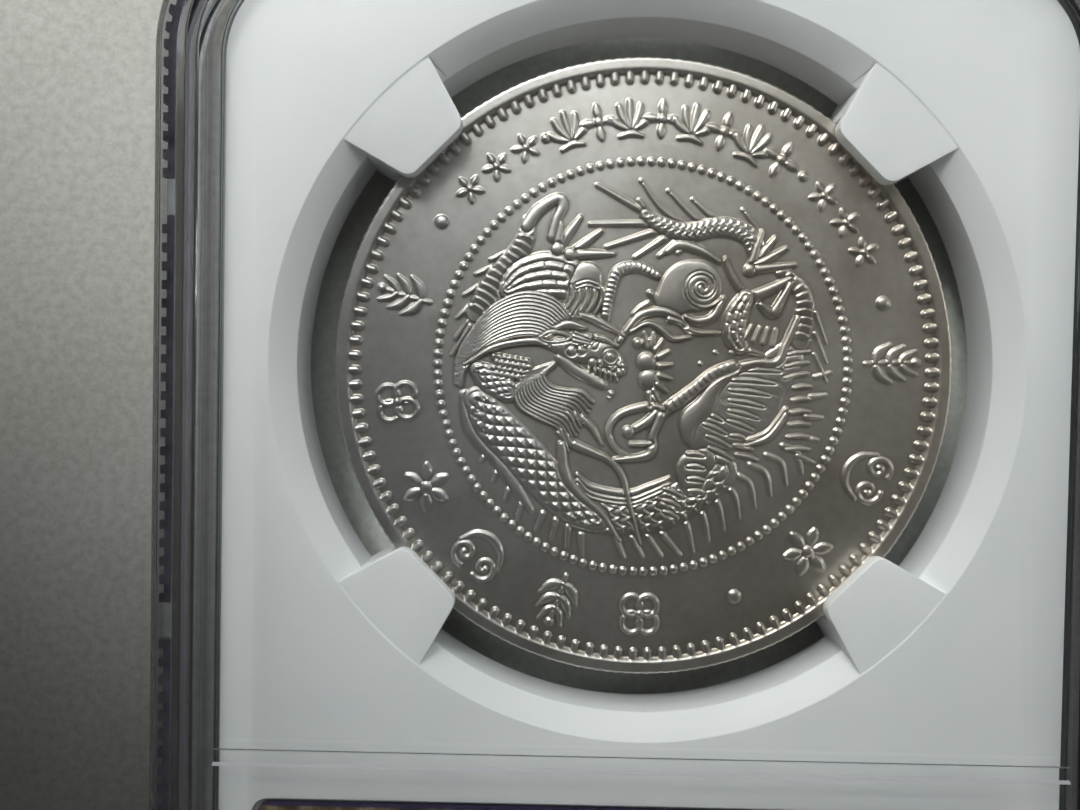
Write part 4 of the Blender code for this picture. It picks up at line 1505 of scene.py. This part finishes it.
def band_mask(nodes, coordinate, low, high, soft):
    """One between two places along a coordinate, zero outside, with soft edges."""
    rise = nodes.spread(coordinate, 0.0, 1.0, low - soft, low + soft)
    fall = nodes.spread(coordinate, 1.0, 0.0, high - soft, high + soft)
    return nodes.math("MULTIPLY", rise, fall)


def card_axes(nodes):
    """Across and along coordinates on a label, in millimetres from the slab's centre."""
    split = nodes.add("ShaderNodeSeparateXYZ", {"Vector": nodes.position()})
    across = nodes.math("MULTIPLY", split.outputs["X"], 1 / MM)
    along = nodes.math("MULTIPLY", split.outputs["Y"], 1 / MM)
    return across, along


def card_patch(nodes, axes, x_range, y_range, soft_x=0.05, soft_y=0.05):
    """One inside a rectangle on a label, zero outside; all in millimetres."""
    across, along = axes
    in_width = band_mask(nodes, across, *x_range, soft_x)
    in_length = band_mask(nodes, along, *y_range, soft_y)
    return nodes.math("MULTIPLY", in_width, in_length)


def front_print():
    """Dark purple card with a strip of mottled brown and gold, and a pale panel."""
    nodes = Nodes("front_print")
    axes = card_axes(nodes)
    low = LABEL_LOW.y / MM
    high = LABEL_HIGH.y / MM
    right = LABEL_HIGH.x / MM
    fibres = nodes.noise(1800.0, 4.0, 0.6)
    purple = nodes.ramp(fibres, [(0.3, (0.020, 0.016, 0.050)), (0.7, (0.050, 0.042, 0.105))])
    gold = nodes.ramp(nodes.noise(750.0, 3.0, 0.6), [
        (0.4, (0.030, 0.020, 0.014)), (0.55, (0.14, 0.10, 0.05)), (0.7, (0.36, 0.31, 0.20)),
    ])
    strip = card_patch(nodes, axes, (9.6, right + 1.0), (low + 0.2, high - 0.8), 0.25, 0.06)
    color = nodes.mix(strip, purple, gold)
    panel = card_patch(nodes, axes, (-right + 2.0, 7.6), (low + 6.0, high - 2.2))
    rows = nodes.add("ShaderNodeTexChecker", {"Vector": nodes.position(), "Scale": 900.0})
    paper = nodes.mix(rows.outputs["Fac"], (0.62, 0.63, 0.62), (0.70, 0.70, 0.68))
    color = nodes.mix(panel, color, paper)
    nodes.link(color, nodes.shader.inputs["Base Color"])
    nodes.set(Roughness=0.38, Coat_Weight=0.3, Coat_Roughness=0.15)
    nodes.bump(fibres, 0.08, 0.02 * MM)
    return nodes.material


def back_print():
    """Pale card with a fine woven tint and a dark border line."""
    nodes = Nodes("back_print")
    margin = 1.0
    inside = card_patch(
        nodes, card_axes(nodes),
        (LABEL_LOW.x / MM + margin, LABEL_HIGH.x / MM - margin),
        (LABEL_LOW.y / MM + margin, LABEL_HIGH.y / MM - margin),
    )
    wave = nodes.add("ShaderNodeTexWave", {
        "Vector": nodes.position(), "Scale": 500.0, "Distortion": 9.0, "Detail": 2.0, "Detail Scale": 1.5,
    })
    tint = nodes.ramp(wave.outputs["Fac"], [(0.3, (0.40, 0.45, 0.55)), (0.7, (0.66, 0.69, 0.72))])
    color = nodes.mix(inside, (0.05, 0.06, 0.14), tint)
    nodes.link(color, nodes.shader.inputs["Base Color"])
    nodes.set(Roughness=0.45)
    nodes.bump(nodes.noise(1800.0, 4.0, 0.6), 0.08, 0.02 * MM)
    return nodes.material


def seal_foil():
    """Embossed metallic foil whose tint drifts over its surface in fine rings."""
    nodes = Nodes("seal_foil")
    rings = nodes.add("ShaderNodeTexWave", {
        "Vector": nodes.position(), "Scale": 260.0, "Distortion": 3.0, "Detail": 2.0,
    }, wave_type="RINGS")
    drift = nodes.noise(120.0, 3.0)
    tint = nodes.ramp(drift, [
        (0.3, (0.50, 0.62, 0.72)), (0.45, (0.66, 0.60, 0.74)),
        (0.6, (0.74, 0.70, 0.56)), (0.75, (0.52, 0.72, 0.62)),
    ])
    nodes.link(nodes.mix(rings.outputs["Fac"], tint, (0.82, 0.83, 0.84)), nodes.shader.inputs["Base Color"])
    nodes.set(Metallic=1.0, Roughness=0.24)
    nodes.bump(rings.outputs["Fac"], 0.15, 0.03 * MM)
    return nodes.material


def pale_paper():
    """Pale floor with the mottling and grain of drawing paper."""
    nodes = Nodes("pale_paper")
    blotches = nodes.noise(45.0, 6.0, 0.6)
    grain = nodes.noise(1600.0, 5.0, 0.7)
    base = nodes.ramp(blotches, [(0.3, (0.72, 0.74, 0.69)), (0.7, (0.82, 0.83, 0.79))])
    specks = nodes.ramp(grain, [(0.35, (0.80, 0.80, 0.79)), (0.6, (1.0, 1.0, 1.0))])
    nodes.link(nodes.mix(1.0, base, specks, "MULTIPLY"), nodes.shader.inputs["Base Color"])
    nodes.set(Roughness=0.85)
    nodes.bump(grain, 0.4, 0.08 * MM)
    return nodes.material


# ---------------------------------------------------------------- camera, floor and lights

SENSOR_WIDTH = 36.0
LENS_LENGTH = 25.33
CAMERA_FROM_COIN = Vector((5.92, 1.58, 48.5)) * MM
CAMERA_TURN = (-0.0179, 0.0083, -3.1237)
LAMP_DISTANCE = 0.4


def make_camera():
    """Close over the coin, a little toward +X, with the label end at the bottom of the frame."""
    lens = bpy.data.cameras.new("camera")
    lens.sensor_width = SENSOR_WIDTH
    lens.lens = LENS_LENGTH
    lens.clip_start = 1.0 * MM
    camera = add_object("camera", lens)
    camera.location = COIN_CENTRE + CAMERA_FROM_COIN
    camera.rotation_euler = CAMERA_TURN
    bpy.context.scene.camera = camera


def make_floor():
    bpy.ops.mesh.primitive_plane_add(size=0.9, location=(0, 0, SLAB_LOW.z - 0.02 * MM))
    floor = bpy.context.object
    floor.name = "paper_floor"
    floor.data.materials.append(pale_paper())
    return floor


def toward(azimuth, elevation, distance):
    """Offset from the coin: azimuth from -Y toward +X, elevation above the floor, in degrees."""
    azimuth, elevation = math.radians(azimuth), math.radians(elevation)
    level = distance * math.cos(elevation)
    return Vector((level * math.sin(azimuth), -level * math.cos(azimuth), distance * math.sin(elevation)))


def add_light(name, lamp, place, target, power, color):
    lamp.energy = power
    lamp.color = color
    light = add_object(name, lamp)
    light.location = place
    light.rotation_euler = (target - place).to_track_quat("-Z", "Y").to_euler()
    return light


def add_pool(name, azimuth, elevation, target, angle, power, color, size=0.05):
    """Soft-edged pool of light round a target on the floor."""
    lamp = bpy.data.lights.new(name, "SPOT")
    lamp.spot_size = math.radians(angle)
    lamp.spot_blend = 1.0
    lamp.shadow_soft_size = size
    place = target + toward(azimuth, elevation, LAMP_DISTANCE)
    return add_light(name, lamp, place, target, power, color)


def shine_only_on(light, pieces):
    """Keep a light to some pieces, as a flag beside a lamp would."""
    lit = bpy.data.collections.new(light.name + "_only")
    for piece in pieces:
        lit.objects.link(piece)
    light.light_linking.receiver_collection = lit


def make_lights(floor):
    """Daylight from beyond the coin end on the slab and, apart, on the paper, and a soft fill."""
    coin = COIN_CENTRE
    pieces = [piece for piece in bpy.data.objects if piece.type == "MESH" and piece != floor]
    slab_aim = coin + Vector((0.004, -0.04, -0.005))
    side_aim = coin + Vector((-0.036, 0.012, 0.0))
    paper_aim = coin + Vector((0.035, -0.046, -0.005))
    slab_pool = add_pool("slab_pool", 25, 45, slab_aim, 18, 4.5, (1.0, 0.99, 0.975))
    side_pool = add_pool("side_pool", -80, 34, side_aim, 10, 1.3, (0.97, 1.0, 1.0))
    paper_pool = add_pool("paper_pool", 30, 45, paper_aim, 14, 7.2, (1.0, 1.0, 0.97), 0.02)
    sky = bpy.data.lights.new("window_fill", "AREA")
    sky.shape = "RECTANGLE"
    sky.size, sky.size_y = 0.3, 0.13
    fill = add_light("window_fill", sky, coin + toward(-5, 50, 0.45), coin, 0.26, (0.96, 0.99, 1.0))
    for light in (slab_pool, side_pool, fill):
        shine_only_on(light, pieces)
    shine_only_on(paper_pool, [floor])


def make_room():
    """Dim warm surroundings, and colours shown as they are."""
    world = bpy.data.worlds.new("room")
    world.use_nodes = True
    background = world.node_tree.nodes["Background"]
    background.inputs["Color"].default_value = (1.0, 0.98, 0.94, 1.0)
    background.inputs["Strength"].default_value = 0.05
    bpy.context.scene.world = world
    bpy.context.scene.view_settings.view_transform = "Standard"


# ---------------------------------------------------------------- assembly

def give_material(node, material):
    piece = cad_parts[node]
    piece.data.materials.clear()
    piece.data.materials.append(material)


def main():
    make_camera()
    floor = make_floor()
    clear = shell_materials()
    groove = joint_profile(
        JOINT_INNER + GROOVE_CLEARANCE, JOINT_OUTER - GROOVE_CLEARANCE, SEAM_HALF_GAP, GROOVE_TOP
    )
    tongue = joint_profile(JOINT_INNER, JOINT_OUTER, -SEAM_HALF_GAP, TONGUE_TOP)
    make_shell("clear_front", "front_shell", 1, groove, clear)
    make_shell("clear_back", "back_shell", -1, tongue, clear)
    make_insert(white_moulding())
    strike_coin(coin_silver())
    bead = melted_bead()
    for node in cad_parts:
        if node.startswith("weld_bead"):
            give_material(node, bead)
    give_material("front_label", front_print())
    give_material("back_label", back_print())
    give_material("security_seal", seal_foil())
    make_lights(floor)
    make_room()


main()
